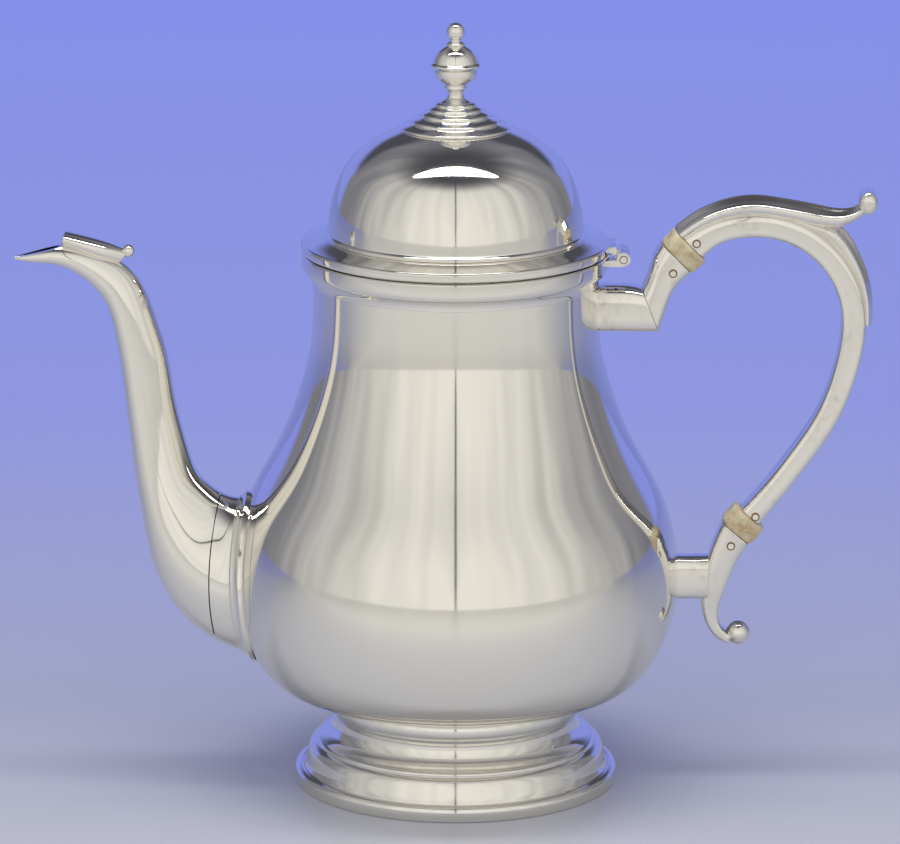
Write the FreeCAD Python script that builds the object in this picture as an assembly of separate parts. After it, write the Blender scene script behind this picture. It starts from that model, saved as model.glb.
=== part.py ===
import FreeCAD, Part
import math
import os

# Silver coffee pot. Millimetres, Z up, the foot stands on Z = 0.
# The spout points along -X and the handle along +X, both in the plane Y = 0.

V = FreeCAD.Vector
ORIGIN = V(0, 0, 0)
X_DIR = V(1, 0, 0)
Y_DIR = V(0, 1, 0)
Z_DIR = V(0, 0, 1)

# Pot body
WALL = 1.2
FLOOR_Z = 26.6
FLOOR_R = 34.0
NECK_R = 39.2
NECK_Z = 138.0
RIM_Z = 150.5
RIM_R = NECK_R + 3.2
BELLY_R = 62.0
BASE_SEAM_Z = 35.5
NECK_SEAM_Z = 82.0
BULGE = BELLY_R - FLOOR_R
SWELL = BELLY_R - NECK_R
BODY_CURVE = [
    (FLOOR_R, FLOOR_Z), (FLOOR_R + 0.2857 * BULGE, FLOOR_Z + 0.3),
    (FLOOR_R + 0.5214 * BULGE, FLOOR_Z + 2.1), (FLOOR_R + 0.7214 * BULGE, FLOOR_Z + 7.0),
    (FLOOR_R + 0.8893 * BULGE, 42.0), (FLOOR_R + 0.9857 * BULGE, 52.0),
    (BELLY_R, 60.0), (NECK_R + 0.9649 * SWELL, 67.5), (NECK_R + 0.8092 * SWELL, 80.0),
    (NECK_R + 0.4649 * SWELL, 95.0), (NECK_R + 0.193 * SWELL, 110.0), (NECK_R + 0.0307 * SWELL, 125.0),
    (NECK_R, NECK_Z),
]
STRAINER_HOLE_R = 1.7
STRAINER_PITCH = 6.0
STRAINER_Z = 62.0

# Foot
FOOT_BAND_R = 42.5
FOOT_R = FOOT_BAND_R + 2.5
FOOT_BAND_Z = 4.4
FOOT_WALL = 1.4

# Lid
LID_GAP = 0.4
LID_Z = RIM_Z + LID_GAP
LID_R = RIM_R + 0.1
FLANGE_TOP_Z = 154.9
DOME_BASE_R = LID_R - 6.5
DOME_FOOT_Z = 156.4
DOME_SHELL = 1.0
DOME_TOP_Z = 184.6
DOME_TOP_R = 15.0
DOME_RUN = DOME_BASE_R - DOME_TOP_R
DOME_CURVE = [
    (DOME_BASE_R - 0.8, DOME_FOOT_Z), (DOME_TOP_R + 0.9476 * DOME_RUN, 160.0),
    (DOME_TOP_R + 0.9143 * DOME_RUN, 164.2), (DOME_TOP_R + 0.8524 * DOME_RUN, 168.5),
    (DOME_TOP_R + 0.7286 * DOME_RUN, 174.0), (DOME_TOP_R + 0.5238 * DOME_RUN, 178.6),
    (DOME_TOP_R + 0.2619 * DOME_RUN, 182.3), (DOME_TOP_R, DOME_TOP_Z),
]
BEZEL_CLEARANCE = 0.4
BEZEL_WALL = 1.0
BEZEL_DROP = 5.2

# Finial
STUD_R = 1.5
COLLET_TOP_Z = 192.1
FINIAL_H = 22.0
WASHER_T = 0.8
NUT_FLATS = 6.0
NUT_T = 2.4

# Hinge
HINGE_X = RIM_R + 3.6
HINGE_Z = 149.2
HINGE_HALF = 6.0
KNUCKLE_R = 1.9
CENTRE_HALF = 1.9
KNUCKLE_GAP = 0.3
PIN_R = 0.9
PIN_CLEARANCE = 0.08

# Spout: centre X, centre Z, half height in plane, half width, tilt of the section in degrees
SPOUT_WALL = 1.0
COLLAR_REACH = 7.5
SPOUT_CROWN = 0.70
FLARE_STATIONS = [
    (-48.0, 57.0, 27.0, 21.4, 91.0), (-53.5, 57.6, 24.4, 19.2, 90.0), (-57.0, 58.1, 22.7, 17.8, 88.5),
    (-60.0, 58.9, 21.4, 16.4, 87.0), (-63.0, 59.8, 20.3, 15.0, 85.6),
]
SPOUT_STATIONS = [
    (-46.0, 57.0, 21.6, 16.6, 91.0), (-57.0, 58.2, 20.9, 15.8, 88.0), (-64.8, 60.5, 20.4, 14.9, 85.0),
    (-71.4, 65.6, 17.6, 13.2, 71.0), (-76.9, 75.0, 12.7, 10.7, 51.0), (-79.3, 82.0, 9.7, 9.0, 37.0),
    (-81.2, 90.0, 8.2, 7.7, 24.0), (-82.8, 98.7, 7.4, 6.9, 16.0), (-84.1, 106.6, 6.9, 6.4, 11.0),
    (-86.1, 120.5, 6.6, 5.9, 10.0), (-88.1, 129.0, 6.1, 5.7, 17.0), (-90.0, 135.5, 5.8, 5.5, 23.0),
    (-92.7, 140.7, 5.6, 5.2, 38.0), (-96.6, 144.4, 5.0, 4.9, 56.0), (-102.0, 147.6, 4.1, 4.6, 70.0),
    (-109.2, 149.8, 3.1, 4.2, 80.0), (-115.4, 149.4, 2.1, 3.3, 85.0), (-121.2, 148.8, 0.8, 1.5, 88.0),
]
MOUTH_X = -108.1
MOUTH_Z = 152.0
TIP = (-121.6, 148.6)
HOOD_STATIONS = [
    (-107.8, 154.3, 1.8, 4.3, 74.0), (-101.0, 152.2, 2.2, 4.4, 71.0),
    (-95.4, 150.2, 2.4, 3.5, 66.0), (-91.2, 148.8, 2.0, 1.9, 60.0),
]
BEAD_R = 1.8
BEAD_AT = (-89.9, 150.4)

# Handle, placed from the line of its lower socket
HANDLE_X = BELLY_R + 9.6
INSULATOR_UP = (HANDLE_X - 8.9, 150.6)
INSULATOR_UP_TILT = 45.0
INSULATOR_UP_T = 5.1
INSULATOR_LOW = (HANDLE_X + 8.1, 73.1)
INSULATOR_LOW_TILT = 49.5
INSULATOR_LOW_T = 6.0
SPIGOT_GRIP_R = 2.3
SPIGOT_SOCKET_R = 3.3
SPIGOT_LOW_R = 2.8
SPIGOT_LEN = 5.6
RIVET_R = 0.8
UPPER_STUB = [
    (NECK_R - 5.2, 134.6, 6.5, 6.0, 90.0), (NECK_R + 6.8, 134.6, 6.4, 6.0, 90.0),
    (HANDLE_X - 17.95, 134.15, 6.4, 5.9, 111.0),
]
UPPER_RISER = [
    (HANDLE_X - 17.95, 134.15, 6.4, 5.9, 111.0), (HANDLE_X - 15.9, 139.8, 5.1, 5.6, 120.0),
    (HANDLE_X - 13.7, 145.0, 5.0, 5.4, 128.0), (HANDLE_X - 10.7, 148.8, 5.6, 5.4, 135.0),
]
GRIP_ARC_C = (HANDLE_X + 10.4, 130.5)
GRIP_ARC_R = 27.6
GRIP_BACK_C = (HANDLE_X - 27.3, 133.8)
GRIP_BACK_R = 65.4
GRIP_HALF = 3.5
GRIP_HALF_LOW = 3.2
GRIP_WIDTH = 4.3
LEAF_TOP_R = 34.5
LEAF_SUNK_R = 30.2
LEAF_HALF_WIDTH = 4.6
LEAF_CROWN = 0.56
BACK_LEAF = [
    (60.0, 32.6, 2.4), (53.0, 35.2, 3.0), (46.0, 36.0, 3.4), (38.0, 35.3, 3.5), (26.0, 34.3, 3.4),
    (12.0, 33.4, 3.1), (-2.0, 32.7, 2.6),
]
CURL_AT = (HANDLE_X + 41.5, 163.6)
CURL_R = 2.5
CURL_HALF = 4.0
LOWER_SOCKET = [
    (HANDLE_X + 6.15, 70.82, 4.9, 4.9, 139.5), (HANDLE_X + 3.8, 66.4, 4.3, 4.5, 150.0),
    (HANDLE_X + 1.6, 60.6, 3.9, 4.2, 163.0), (HANDLE_X + 0.0, 54.5, 3.3, 3.9, 172.0),
    (HANDLE_X - 0.7, 49.3, 2.5, 3.5, 181.0), (HANDLE_X - 0.1, 45.2, 1.9, 3.2, 203.0),
    (HANDLE_X + 1.8, 41.9, 1.6, 3.0, 226.0), (HANDLE_X + 4.7, 39.9, 1.3, 2.8, 252.0),
]
BUD_AT = (HANDLE_X + 7.1, 41.5)
BUD_R = 3.35
LOWER_STUB_Z = 57.8
LOWER_STUB_HALF = 6.1
LOWER_STUB_WIDTH = 4.6


def at(point):
    """Point (r, z) or (x, z) in the plane Y = 0."""
    return V(point[0], 0, point[1])


def straight(points):
    return [Part.LineSegment(at(a), at(b)).toShape() for a, b in zip(points, points[1:])]


def smooth(points):
    curve = Part.BSplineCurve()
    curve.interpolate([at(p) for p in points])
    return [curve.toShape()]


def turned(edges):
    """Solid of revolution about Z from a closed run of edges."""
    face = Part.Face(Part.Wire(Part.__sortEdges__(edges)))
    return Part.makeSolid(face.revolve(ORIGIN, Z_DIR, 360).Shells[0])


def inset(points, distance):
    """The same smooth curve moved sideways by a distance towards the axis."""
    curve = Part.BSplineCurve()
    curve.interpolate([at(p) for p in points])
    moved = []
    for p in points:
        along = curve.tangent(curve.parameter(at(p)))[0]
        moved.append((p[0] - along.z * distance, p[1] + along.x * distance))
    return moved


def section(x, z, half, width, tilt, shrink=0.0, square=0.78, crown=1.0):
    """Closed rounded section across the plane Y = 0, tilted from X; a low crown narrows its upper side."""
    up = V(math.cos(math.radians(tilt)), 0, math.sin(math.radians(tilt)))
    top = square * crown
    rows = [(1, 0), (square, top), (0, 1), (-square, square)]
    rows += [(-1, 0), (-square, -square), (0, -1), (square, -top)]
    points = [V(x, 0, z) + up * (a * (half - shrink)) + Y_DIR * (b * (width - shrink)) for a, b in rows]
    curve = Part.BSplineCurve()
    curve.interpolate(Points=points, PeriodicFlag=True, Parameters=list(range(len(points) + 1)))
    return Part.Wire([curve.toShape()])


def lofted(stations, shrink=0.0, square=0.78, crown=1.0):
    wires = [section(*s, shrink=shrink, square=square, crown=crown) for s in stations]
    return Part.makeLoft(wires, True, False)


def prism(points, half_width):
    """Straight-sided block across the plane Y = 0."""
    wire = Part.makePolygon([V(x, -half_width, z) for x, z in points + points[:1]])
    return Part.Face(wire).extrude(Y_DIR * (2 * half_width))


def rod(x, z, radius, half_length):
    return Part.makeCylinder(radius, 2 * half_length, V(x, -half_length, z), Y_DIR)


def single(shape):
    """The largest solid of a result."""
    return max(shape.Solids, key=lambda s: s.Volume)


def body_filled(grow=0.0):
    """The outside of the pot as one filled solid."""
    curve = inset(BODY_CURVE, -grow) if grow else BODY_CURVE
    top = (curve[-1][0], RIM_Z)
    low = (curve[0][0], curve[0][1])
    edges = smooth(curve) + straight([curve[-1], top, (0, RIM_Z), (0, low[1]), low])
    return turned(edges)


def pot_shell():
    """The whole pot wall before it is parted into base, belly and neck."""
    inner = inset(BODY_CURVE, WALL)
    inner[0] = (FLOOR_R, FLOOR_Z + WALL)
    inner[-1] = (NECK_R - WALL, NECK_Z)
    edges = smooth(BODY_CURVE)
    edges += straight([BODY_CURVE[-1], (NECK_R, RIM_Z), (NECK_R - WALL, RIM_Z), inner[-1]])
    edges += smooth(inner)
    edges += straight([inner[0], (0, FLOOR_Z + WALL), (0, FLOOR_Z), BODY_CURVE[0]])
    shell = turned(edges)
    for row in range(-2, 3):
        for y in strainer_row(row):
            z = STRAINER_Z + row * STRAINER_PITCH * 0.87
            shell = shell.cut(Part.makeCylinder(STRAINER_HOLE_R, BELLY_R, V(-BELLY_R / 2, y, z), V(-1, 0, 0)))
    return single(shell)


def pot_ring(shell, low, high):
    """The part of the pot wall between two seams."""
    return single(shell.common(Part.makeCylinder(BELLY_R + 20.0, high - low, V(0, 0, low))))


def strainer_row(row):
    count = 5 - abs(row)
    return [(i - (count - 1) / 2) * STRAINER_PITCH for i in range(count)]


def neck_rim():
    low = RIM_Z - 8.3
    edges = straight([(NECK_R, low), (NECK_R + 0.5, low)])
    edges += smooth([(NECK_R + 0.5, low), (NECK_R + 0.8, low + 1.5), (NECK_R + 1.9, low + 3.0)])
    edges += straight([(NECK_R + 1.9, low + 3.0), (NECK_R + 2.4, low + 3.2), (RIM_R - 0.2, low + 4.2)])
    edges += straight([(RIM_R - 0.2, low + 4.2), (RIM_R, low + 5.2), (RIM_R, RIM_Z - 0.4)])
    edges += straight([(RIM_R, RIM_Z - 0.4), (RIM_R - 0.4, RIM_Z)])
    edges += straight([(RIM_R - 0.4, RIM_Z), (NECK_R, RIM_Z), (NECK_R, low)])
    return turned(edges)


def foot_pedestal():
    inside = FOOT_BAND_R - FOOT_WALL
    edges = straight([(33.6, FLOOR_Z), (33.6, 25.2)])
    edges += smooth([(33.6, 25.2), (32.1, 23.9), (31.3, 22.6)])
    edges += smooth([(31.3, 22.6), (31.7, 20.4), (30.2, 18.2)])
    edges += straight([(30.2, 18.2), (29.4, 17.6)])
    edges += smooth([(29.4, 17.6), (29.8, 14.2), (31.9, 11.2)])
    edges += straight([(31.9, 11.2), (32.6, 11.0)])
    edges += smooth([(32.6, 11.0), (33.6, 10.2), (33.7, 9.5)])
    edges += straight([(33.7, 9.5), (34.0, 9.4)])
    edges += smooth([(34.0, 9.4), (35.3, 8.6), (35.6, 7.6)])
    edges += smooth([(35.6, 7.6), (37.6, 5.9), (FOOT_BAND_R - 1.3, 4.9)])
    edges += straight([(FOOT_BAND_R - 1.3, 4.9), (FOOT_BAND_R, FOOT_BAND_Z), (FOOT_BAND_R, 0.4)])
    edges += straight([(FOOT_BAND_R, 0.4), (inside, 0.4), (inside, 3.4)])
    edges += smooth([(inside, 3.4), (inside - 4.2, 4.5), (34.2, 7.0)])
    edges += straight([(34.2, 7.0), (32.4, 8.4), (31.0, 9.8)])
    edges += smooth([(31.0, 9.8), (28.5, 13.6), (28.0, 17.5)])
    edges += straight([(28.0, 17.5), (28.9, 18.8), (29.7, 22.8), (31.9, 25.2)])
    edges += straight([(31.9, 25.2), (31.9, FLOOR_Z), (33.6, FLOOR_Z)])
    return turned(edges)


def foot_base_ring():
    points = [(FOOT_BAND_R, 0), (FOOT_R, 0), (FOOT_R, 3.2), (FOOT_R - 0.5, 4.0), (FOOT_R - 1.6, FOOT_BAND_Z)]
    return turned(straight(points + [(FOOT_BAND_R, FOOT_BAND_Z), (FOOT_BAND_R, 0)]))


def spout_filled(shrink=0.0, stations=SPOUT_STATIONS):
    """The spout as a filled form: the swelling lower part and the rising upper part."""
    lower = lofted(stations[:5], shrink=shrink, crown=SPOUT_CROWN)
    upper = lofted(stations[4:], shrink=shrink, crown=SPOUT_CROWN)
    return lower.fuse(upper).removeSplitter()


def spout_open():
    """The whole spout as a tube, cut open at the mouth and trimmed to the pot."""
    tube = spout_filled().cut(spout_filled(SPOUT_WALL, SPOUT_STATIONS[:-1]))
    mouth = prism([TIP, (MOUTH_X, MOUTH_Z), (MOUTH_X, 175.0), (-140.0, 175.0), (-140.0, TIP[1])], 20.0)
    return single(tube.cut(mouth).cut(body_filled()))


def spout_flare():
    """Low flared foot round the spout's root, up to the outside of the spout."""
    return lofted(FLARE_STATIONS, crown=SPOUT_CROWN).cut(spout_filled()).cut(body_filled())


def spout_far_half(whole):
    return single(whole.common(Part.makeBox(160, 60, 220, V(-150, 0, 0))))


def spout_hood(core):
    return single(lofted(HOOD_STATIONS, square=0.72).cut(core))


def spout_hood_bead(core, hood):
    ball = Part.makeSphere(BEAD_R, at(BEAD_AT))
    return single(ball.cut(hood).cut(core))


def lid_flange():
    inner = DOME_BASE_R - 2.0
    top = FLANGE_TOP_Z
    points = [(inner, LID_Z), (LID_R - 0.3, LID_Z), (LID_R, LID_Z + 0.4)]
    points += [(LID_R, top - 2.0), (LID_R - 0.4, top - 1.5)]
    return turned(straight(points + [(DOME_BASE_R, top), (inner, top), (inner, LID_Z)]))


def lid_dome():
    inner = inset(DOME_CURVE, DOME_SHELL)
    inner[0] = (DOME_CURVE[0][0] - DOME_SHELL, DOME_CURVE[0][1])
    inner[-1] = (DOME_TOP_R - 0.4, DOME_TOP_Z - DOME_SHELL)
    base_in = DOME_BASE_R - 2.0
    edges = straight([(base_in, FLANGE_TOP_Z), (DOME_BASE_R - 0.2, FLANGE_TOP_Z)])
    edges += smooth([(DOME_BASE_R - 0.2, FLANGE_TOP_Z), (DOME_BASE_R, FLANGE_TOP_Z + 0.7), DOME_CURVE[0]])
    edges += smooth(DOME_CURVE)
    edges += straight([DOME_CURVE[-1], (STUD_R, DOME_TOP_Z), (STUD_R, DOME_TOP_Z - DOME_SHELL), inner[-1]])
    edges += smooth(inner)
    edges += straight([inner[0], (base_in, FLANGE_TOP_Z)])
    return turned(edges)


def lid_bezel():
    outer = NECK_R - WALL - BEZEL_CLEARANCE
    inner = outer - BEZEL_WALL
    low = LID_Z - BEZEL_DROP
    points = [(outer, LID_Z), (outer, low + 1.2), (outer - 0.5, low)]
    points += [(inner, low), (inner, LID_Z), (outer, LID_Z)]
    return turned(straight(points))


def finial_collet():
    low = DOME_TOP_Z
    points = [
        (STUD_R, low), (15.0, low), (15.2, low + 0.7), (12.4, low + 1.6), (12.1, low + 2.4), (9.6, low + 3.3),
        (9.3, low + 4.2), (7.6, low + 5.0), (7.3, low + 5.8),
        (5.9, low + 6.4), (5.6, low + 7.1), (4.8, COLLET_TOP_Z),
        (STUD_R, COLLET_TOP_Z), (STUD_R, low),
    ]
    return turned(straight(points))


def knop(points):
    """Finial outline points given as radius and height above the collet."""
    return [(r, COLLET_TOP_Z + h * FINIAL_H / 22.0) for r, h in points]


def finial():
    edges = straight(knop([(0, 22.0), (0, 5.9), (STUD_R, 5.9), (STUD_R, 0), (4.4, 0)]))
    edges += smooth(knop([(4.4, 0), (2.9, 0.8), (2.15, 2.2), (2.5, 3.4)]))
    edges += smooth(knop([(2.5, 3.4), (3.1, 4.0), (2.9, 4.7)]))
    edges += smooth(knop([(2.9, 4.7), (4.7, 6.0), (5.7, 7.6), (5.9, 8.8)]))
    edges += straight(knop([(5.9, 8.8), (5.7, 9.0)]))
    edges += smooth(knop([(5.7, 9.0), (6.4, 9.5), (7.0, 10.4), (6.1, 11.0)]))
    edges += smooth(knop([(6.1, 11.0), (5.8, 12.4), (4.6, 14.2), (2.4, 15.6)]))
    edges += smooth(knop([(2.4, 15.6), (2.6, 16.0), (2.2, 16.5)]))
    edges += straight(knop([(2.2, 16.5), (1.5, 16.8), (1.5, 17.3)]))
    edges += smooth(knop([(1.5, 17.3), (2.4, 18.5), (2.55, 19.5), (2.25, 20.7), (1.4, 21.6), (0, 22.0)]))
    return turned(edges)


def finial_stud():
    low = DOME_TOP_Z - DOME_SHELL - WASHER_T - NUT_T - 1.0
    top = COLLET_TOP_Z + 5.9 * FINIAL_H / 22.0
    return Part.makeCylinder(STUD_R, top - low, V(0, 0, low))


def finial_washer():
    top = DOME_TOP_Z - DOME_SHELL
    ring = Part.makeCylinder(4.2, WASHER_T, V(0, 0, top - WASHER_T))
    return ring.cut(Part.makeCylinder(STUD_R, 10, V(0, 0, top - 5)))


def finial_nut():
    top = DOME_TOP_Z - DOME_SHELL - WASHER_T
    reach = NUT_FLATS / 2 / math.cos(math.radians(30))
    angles = [math.radians(60 * i) for i in range(7)]
    corners = [V(reach * math.cos(a), reach * math.sin(a), top) for a in angles]
    hexagon = Part.Face(Part.makePolygon(corners)).extrude(V(0, 0, -NUT_T))
    return hexagon.cut(Part.makeCylinder(STUD_R, 10, V(0, 0, top - 6)))


def hinge_body_leaf():
    notch = CENTRE_HALF + KNUCKLE_GAP
    plate = Part.makeBox(6.0, 2 * HINGE_HALF, 1.7, V(HINGE_X - 6.0, -HINGE_HALF, HINGE_Z - 2.0))
    plate = plate.cut(Part.makeBox(6, 2 * notch, 6, V(HINGE_X - 2.3, -notch, HINGE_Z - 4)))
    barrel = rod(HINGE_X, HINGE_Z, KNUCKLE_R, HINGE_HALF).cut(rod(HINGE_X, HINGE_Z, 3.0, notch))
    leaf = plate.fuse(barrel).removeSplitter()
    leaf = leaf.cut(Part.makeCylinder(RIM_R, 20, V(0, 0, 140)))
    return single(leaf.cut(rod(HINGE_X, HINGE_Z, PIN_R, 20)))


def hinge_lid_leaf():
    wide = Part.makeBox(4.0, 2 * HINGE_HALF, 1.6, V(HINGE_X - 6.0, -HINGE_HALF, LID_Z + 0.2))
    tongue = Part.makeBox(3.0, 2 * CENTRE_HALF, 1.5, V(HINGE_X - 3.0, -CENTRE_HALF, HINGE_Z + 0.4))
    step = Part.makeBox(1.0, 2 * CENTRE_HALF, 1.7, V(HINGE_X - 3.0, -CENTRE_HALF, HINGE_Z + 0.6))
    tongue = tongue.fuse(step)
    leaf = wide.fuse(tongue).fuse(rod(HINGE_X, HINGE_Z, KNUCKLE_R, CENTRE_HALF)).removeSplitter()
    leaf = leaf.cut(Part.makeCylinder(LID_R, 20, V(0, 0, 140)))
    return single(leaf.cut(rod(HINGE_X, HINGE_Z, PIN_R + PIN_CLEARANCE, 20)))


def hinge_pin():
    return rod(HINGE_X, HINGE_Z, PIN_R, HINGE_HALF + 0.2)


def tilted(tilt):
    return V(math.cos(math.radians(tilt)), 0, math.sin(math.radians(tilt)))


def spigot(centre, tilt, thickness, radius, extra=0.0):
    """Round peg on one face of an insulator; a tilt turned by 180 degrees gives the other face."""
    axis = tilted(tilt)
    return Part.makeCylinder(radius, SPIGOT_LEN + extra, at(centre) + axis * (thickness / 2), axis)


def insulator(centre, tilt, thickness, half, width, grip_r, socket_r, rivets):
    axis = tilted(tilt)
    low = at(centre) - axis * (thickness / 2)
    wire = section(low.x, low.z, half, width, tilt + 90.0)
    disc = Part.Face(wire).extrude(axis * thickness)
    shape = disc.fuse(spigot(centre, tilt, thickness, grip_r))
    shape = shape.fuse(spigot(centre, tilt + 180.0, thickness, socket_r))
    for x, z in rivets:
        shape = shape.cut(rod(x, z, RIVET_R, 20))
    return single(shape)


UP_GRIP_RIVET = (HANDLE_X - 5.6, 153.4)
UP_SOCKET_RIVET = (HANDLE_X - 12.0, 145.2)
LOW_GRIP_RIVET = (HANDLE_X + 11.4, 75.9)
LOW_SOCKET_RIVET = (HANDLE_X + 4.7, 67.6)


def upper_insulator():
    return insulator(INSULATOR_UP, INSULATOR_UP_TILT, INSULATOR_UP_T, 6.1, 5.9,
                     SPIGOT_GRIP_R, SPIGOT_SOCKET_R, [UP_GRIP_RIVET, UP_SOCKET_RIVET])


def lower_insulator():
    return insulator(INSULATOR_LOW, INSULATOR_LOW_TILT, INSULATOR_LOW_T, 5.4, 5.3,
                     SPIGOT_GRIP_R, SPIGOT_LOW_R, [LOW_GRIP_RIVET, LOW_SOCKET_RIVET])


def upper_socket():
    stub = lofted(UPPER_STUB, square=0.82)
    riser = lofted(UPPER_RISER, square=0.82)
    shape = stub.fuse(riser).cut(body_filled())
    face = at(INSULATOR_UP) - tilted(INSULATOR_UP_TILT) * (INSULATOR_UP_T / 2)
    shape = shape.cut(beyond(face, INSULATOR_UP_TILT))
    shape = shape.cut(spigot(INSULATOR_UP, INSULATOR_UP_TILT + 180.0, INSULATOR_UP_T, SPIGOT_SOCKET_R))
    return single(shape.cut(rod(*UP_SOCKET_RIVET, RIVET_R, 20)))


def beyond(point, tilt):
    """Block that fills everything past a face, along the tilt direction."""
    axis = tilted(tilt)
    side = tilted(tilt + 90.0)
    corners = [point + side * 20, point - side * 20]
    corners += [corners[1] + axis * 20, corners[0] + axis * 20]
    return prism([(c.x, c.z) for c in corners], 30.0)


def on_circle(centre, radius, angle):
    a = math.radians(angle)
    return centre[0] + radius * math.cos(a), centre[1] + radius * math.sin(a)


def grip_stations():
    """Sections along the grip: round the top, down the back, straight to the lower end."""
    stations = []
    start, turn, end = 128.6, -5.0, -37.6
    for i in range(10):
        a = start + (turn - start) * i / 9
        spot = on_circle(GRIP_ARC_C, GRIP_ARC_R, a)
        stations.append((*spot, GRIP_HALF, GRIP_WIDTH, a))
    for i in range(1, 5):
        a = turn + (end - turn) * i / 4
        spot = on_circle(GRIP_BACK_C, GRIP_BACK_R, a)
        stations.append((*spot, GRIP_HALF + (GRIP_HALF_LOW - GRIP_HALF) * i / 4, GRIP_WIDTH, a))
    low_axis = tilted(INSULATOR_LOW_TILT)
    low_face = at(INSULATOR_LOW) + low_axis * (INSULATOR_LOW_T / 2)
    last = stations[-1]
    middle = ((last[0] + low_face.x) / 2 + 0.2, (last[1] + low_face.z) / 2 - 0.2)
    stations.append((*middle, GRIP_HALF_LOW, GRIP_WIDTH, end - 1.0))
    stations.append((low_face.x, low_face.z, GRIP_HALF_LOW + 0.2, GRIP_WIDTH, INSULATOR_LOW_TILT - 90.0))
    return stations


def grip_filled():
    stations = grip_stations()
    face = at(INSULATOR_UP) + tilted(INSULATOR_UP_TILT) * (INSULATOR_UP_T / 2)
    stations[0] = (face.x + 0.5, face.z - 0.5, GRIP_HALF + 0.6, GRIP_WIDTH + 0.3, INSULATOR_UP_TILT + 90.0)
    return lofted(stations, square=0.84)


def handle_grip(core):
    shape = core.cut(spigot(INSULATOR_UP, INSULATOR_UP_TILT, INSULATOR_UP_T, SPIGOT_GRIP_R))
    shape = shape.cut(spigot(INSULATOR_LOW, INSULATOR_LOW_TILT, INSULATOR_LOW_T, SPIGOT_GRIP_R))
    for spot in (UP_GRIP_RIVET, LOW_GRIP_RIVET):
        shape = shape.cut(rod(*spot, RIVET_R, 20))
    return single(shape)


def on_grip_arc(radius, angle):
    return on_circle(GRIP_ARC_C, radius, angle)


def strip_station(low, high, width):
    """Section of an applied strip from its underside point to its top point."""
    tilt = math.degrees(math.atan2(high[1] - low[1], high[0] - low[0]))
    half = math.hypot(high[0] - low[0], high[1] - low[1]) / 2
    return ((low[0] + high[0]) / 2, (low[1] + high[1]) / 2, half, width, tilt)


def thumb_leaf(core):
    stations = []
    for angle in (129.5, 116.0, 104.0, 90.0, 78.0):
        low, high = on_grip_arc(LEAF_SUNK_R, angle), on_grip_arc(LEAF_TOP_R, angle)
        stations.append(strip_station(low, high, LEAF_HALF_WIDTH))
    stations.append(strip_station((HANDLE_X + 25.6, 158.0), (HANDLE_X + 26.6, 162.5), 4.2))
    stations.append(strip_station((HANDLE_X + 34.0, 157.6), (HANDLE_X + 34.3, 161.4), 3.4))
    stations.append(strip_station((HANDLE_X + 38.6, 159.6), (HANDLE_X + 37.7, 162.4), 3.0))
    stations.append(strip_station((HANDLE_X + 41.4, 161.9), (HANDLE_X + 39.6, 163.9), 2.8))
    strip = lofted(stations, square=0.9, crown=LEAF_CROWN).cut(core)
    face = at(INSULATOR_UP) + tilted(INSULATOR_UP_TILT) * (INSULATOR_UP_T / 2)
    strip = strip.cut(beyond(face, INSULATOR_UP_TILT + 180.0)).cut(rod(*UP_GRIP_RIVET, SPIGOT_GRIP_R, 20))
    return single(strip.cut(rod(*CURL_AT, CURL_R, 20)))


def thumb_leaf_curl():
    curl = rod(*CURL_AT, CURL_R, CURL_HALF)
    return curl.makeFillet(0.8, [e for e in curl.Edges if e.Closed and e.Curve.TypeId == "Part::GeomCircle"])


def back_leaf(core, leaf):
    stations = []
    for angle, top, width in BACK_LEAF:
        stations.append(strip_station(on_grip_arc(LEAF_SUNK_R, angle), on_grip_arc(top, angle), width))
    return single(lofted(stations, square=0.84).cut(core).cut(leaf))


def lower_socket_filled():
    return lofted(LOWER_SOCKET, square=0.84)


def lower_socket(core):
    shape = core.cut(spigot(INSULATOR_LOW, INSULATOR_LOW_TILT + 180.0, INSULATOR_LOW_T, SPIGOT_LOW_R))
    shape = shape.cut(Part.makeSphere(BUD_R, at(BUD_AT)))
    return single(shape.cut(rod(*LOW_SOCKET_RIVET, RIVET_R, 20)))


def lower_scroll_bud():
    return Part.makeSphere(BUD_R, at(BUD_AT))


def lower_stub(core):
    wire = section(BELLY_R - 6.0, LOWER_STUB_Z, LOWER_STUB_HALF, LOWER_STUB_WIDTH, 90.0, square=0.84)
    block = Part.Face(wire).extrude(V(HANDLE_X - BELLY_R + 6.4, 0, 0))
    pieces = block.cut(body_filled()).cut(core)
    return min(pieces.Solids, key=lambda s: s.CenterOfMass.x)


def rivet(spot, half_length):
    return rod(*spot, RIVET_R, half_length)


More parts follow.
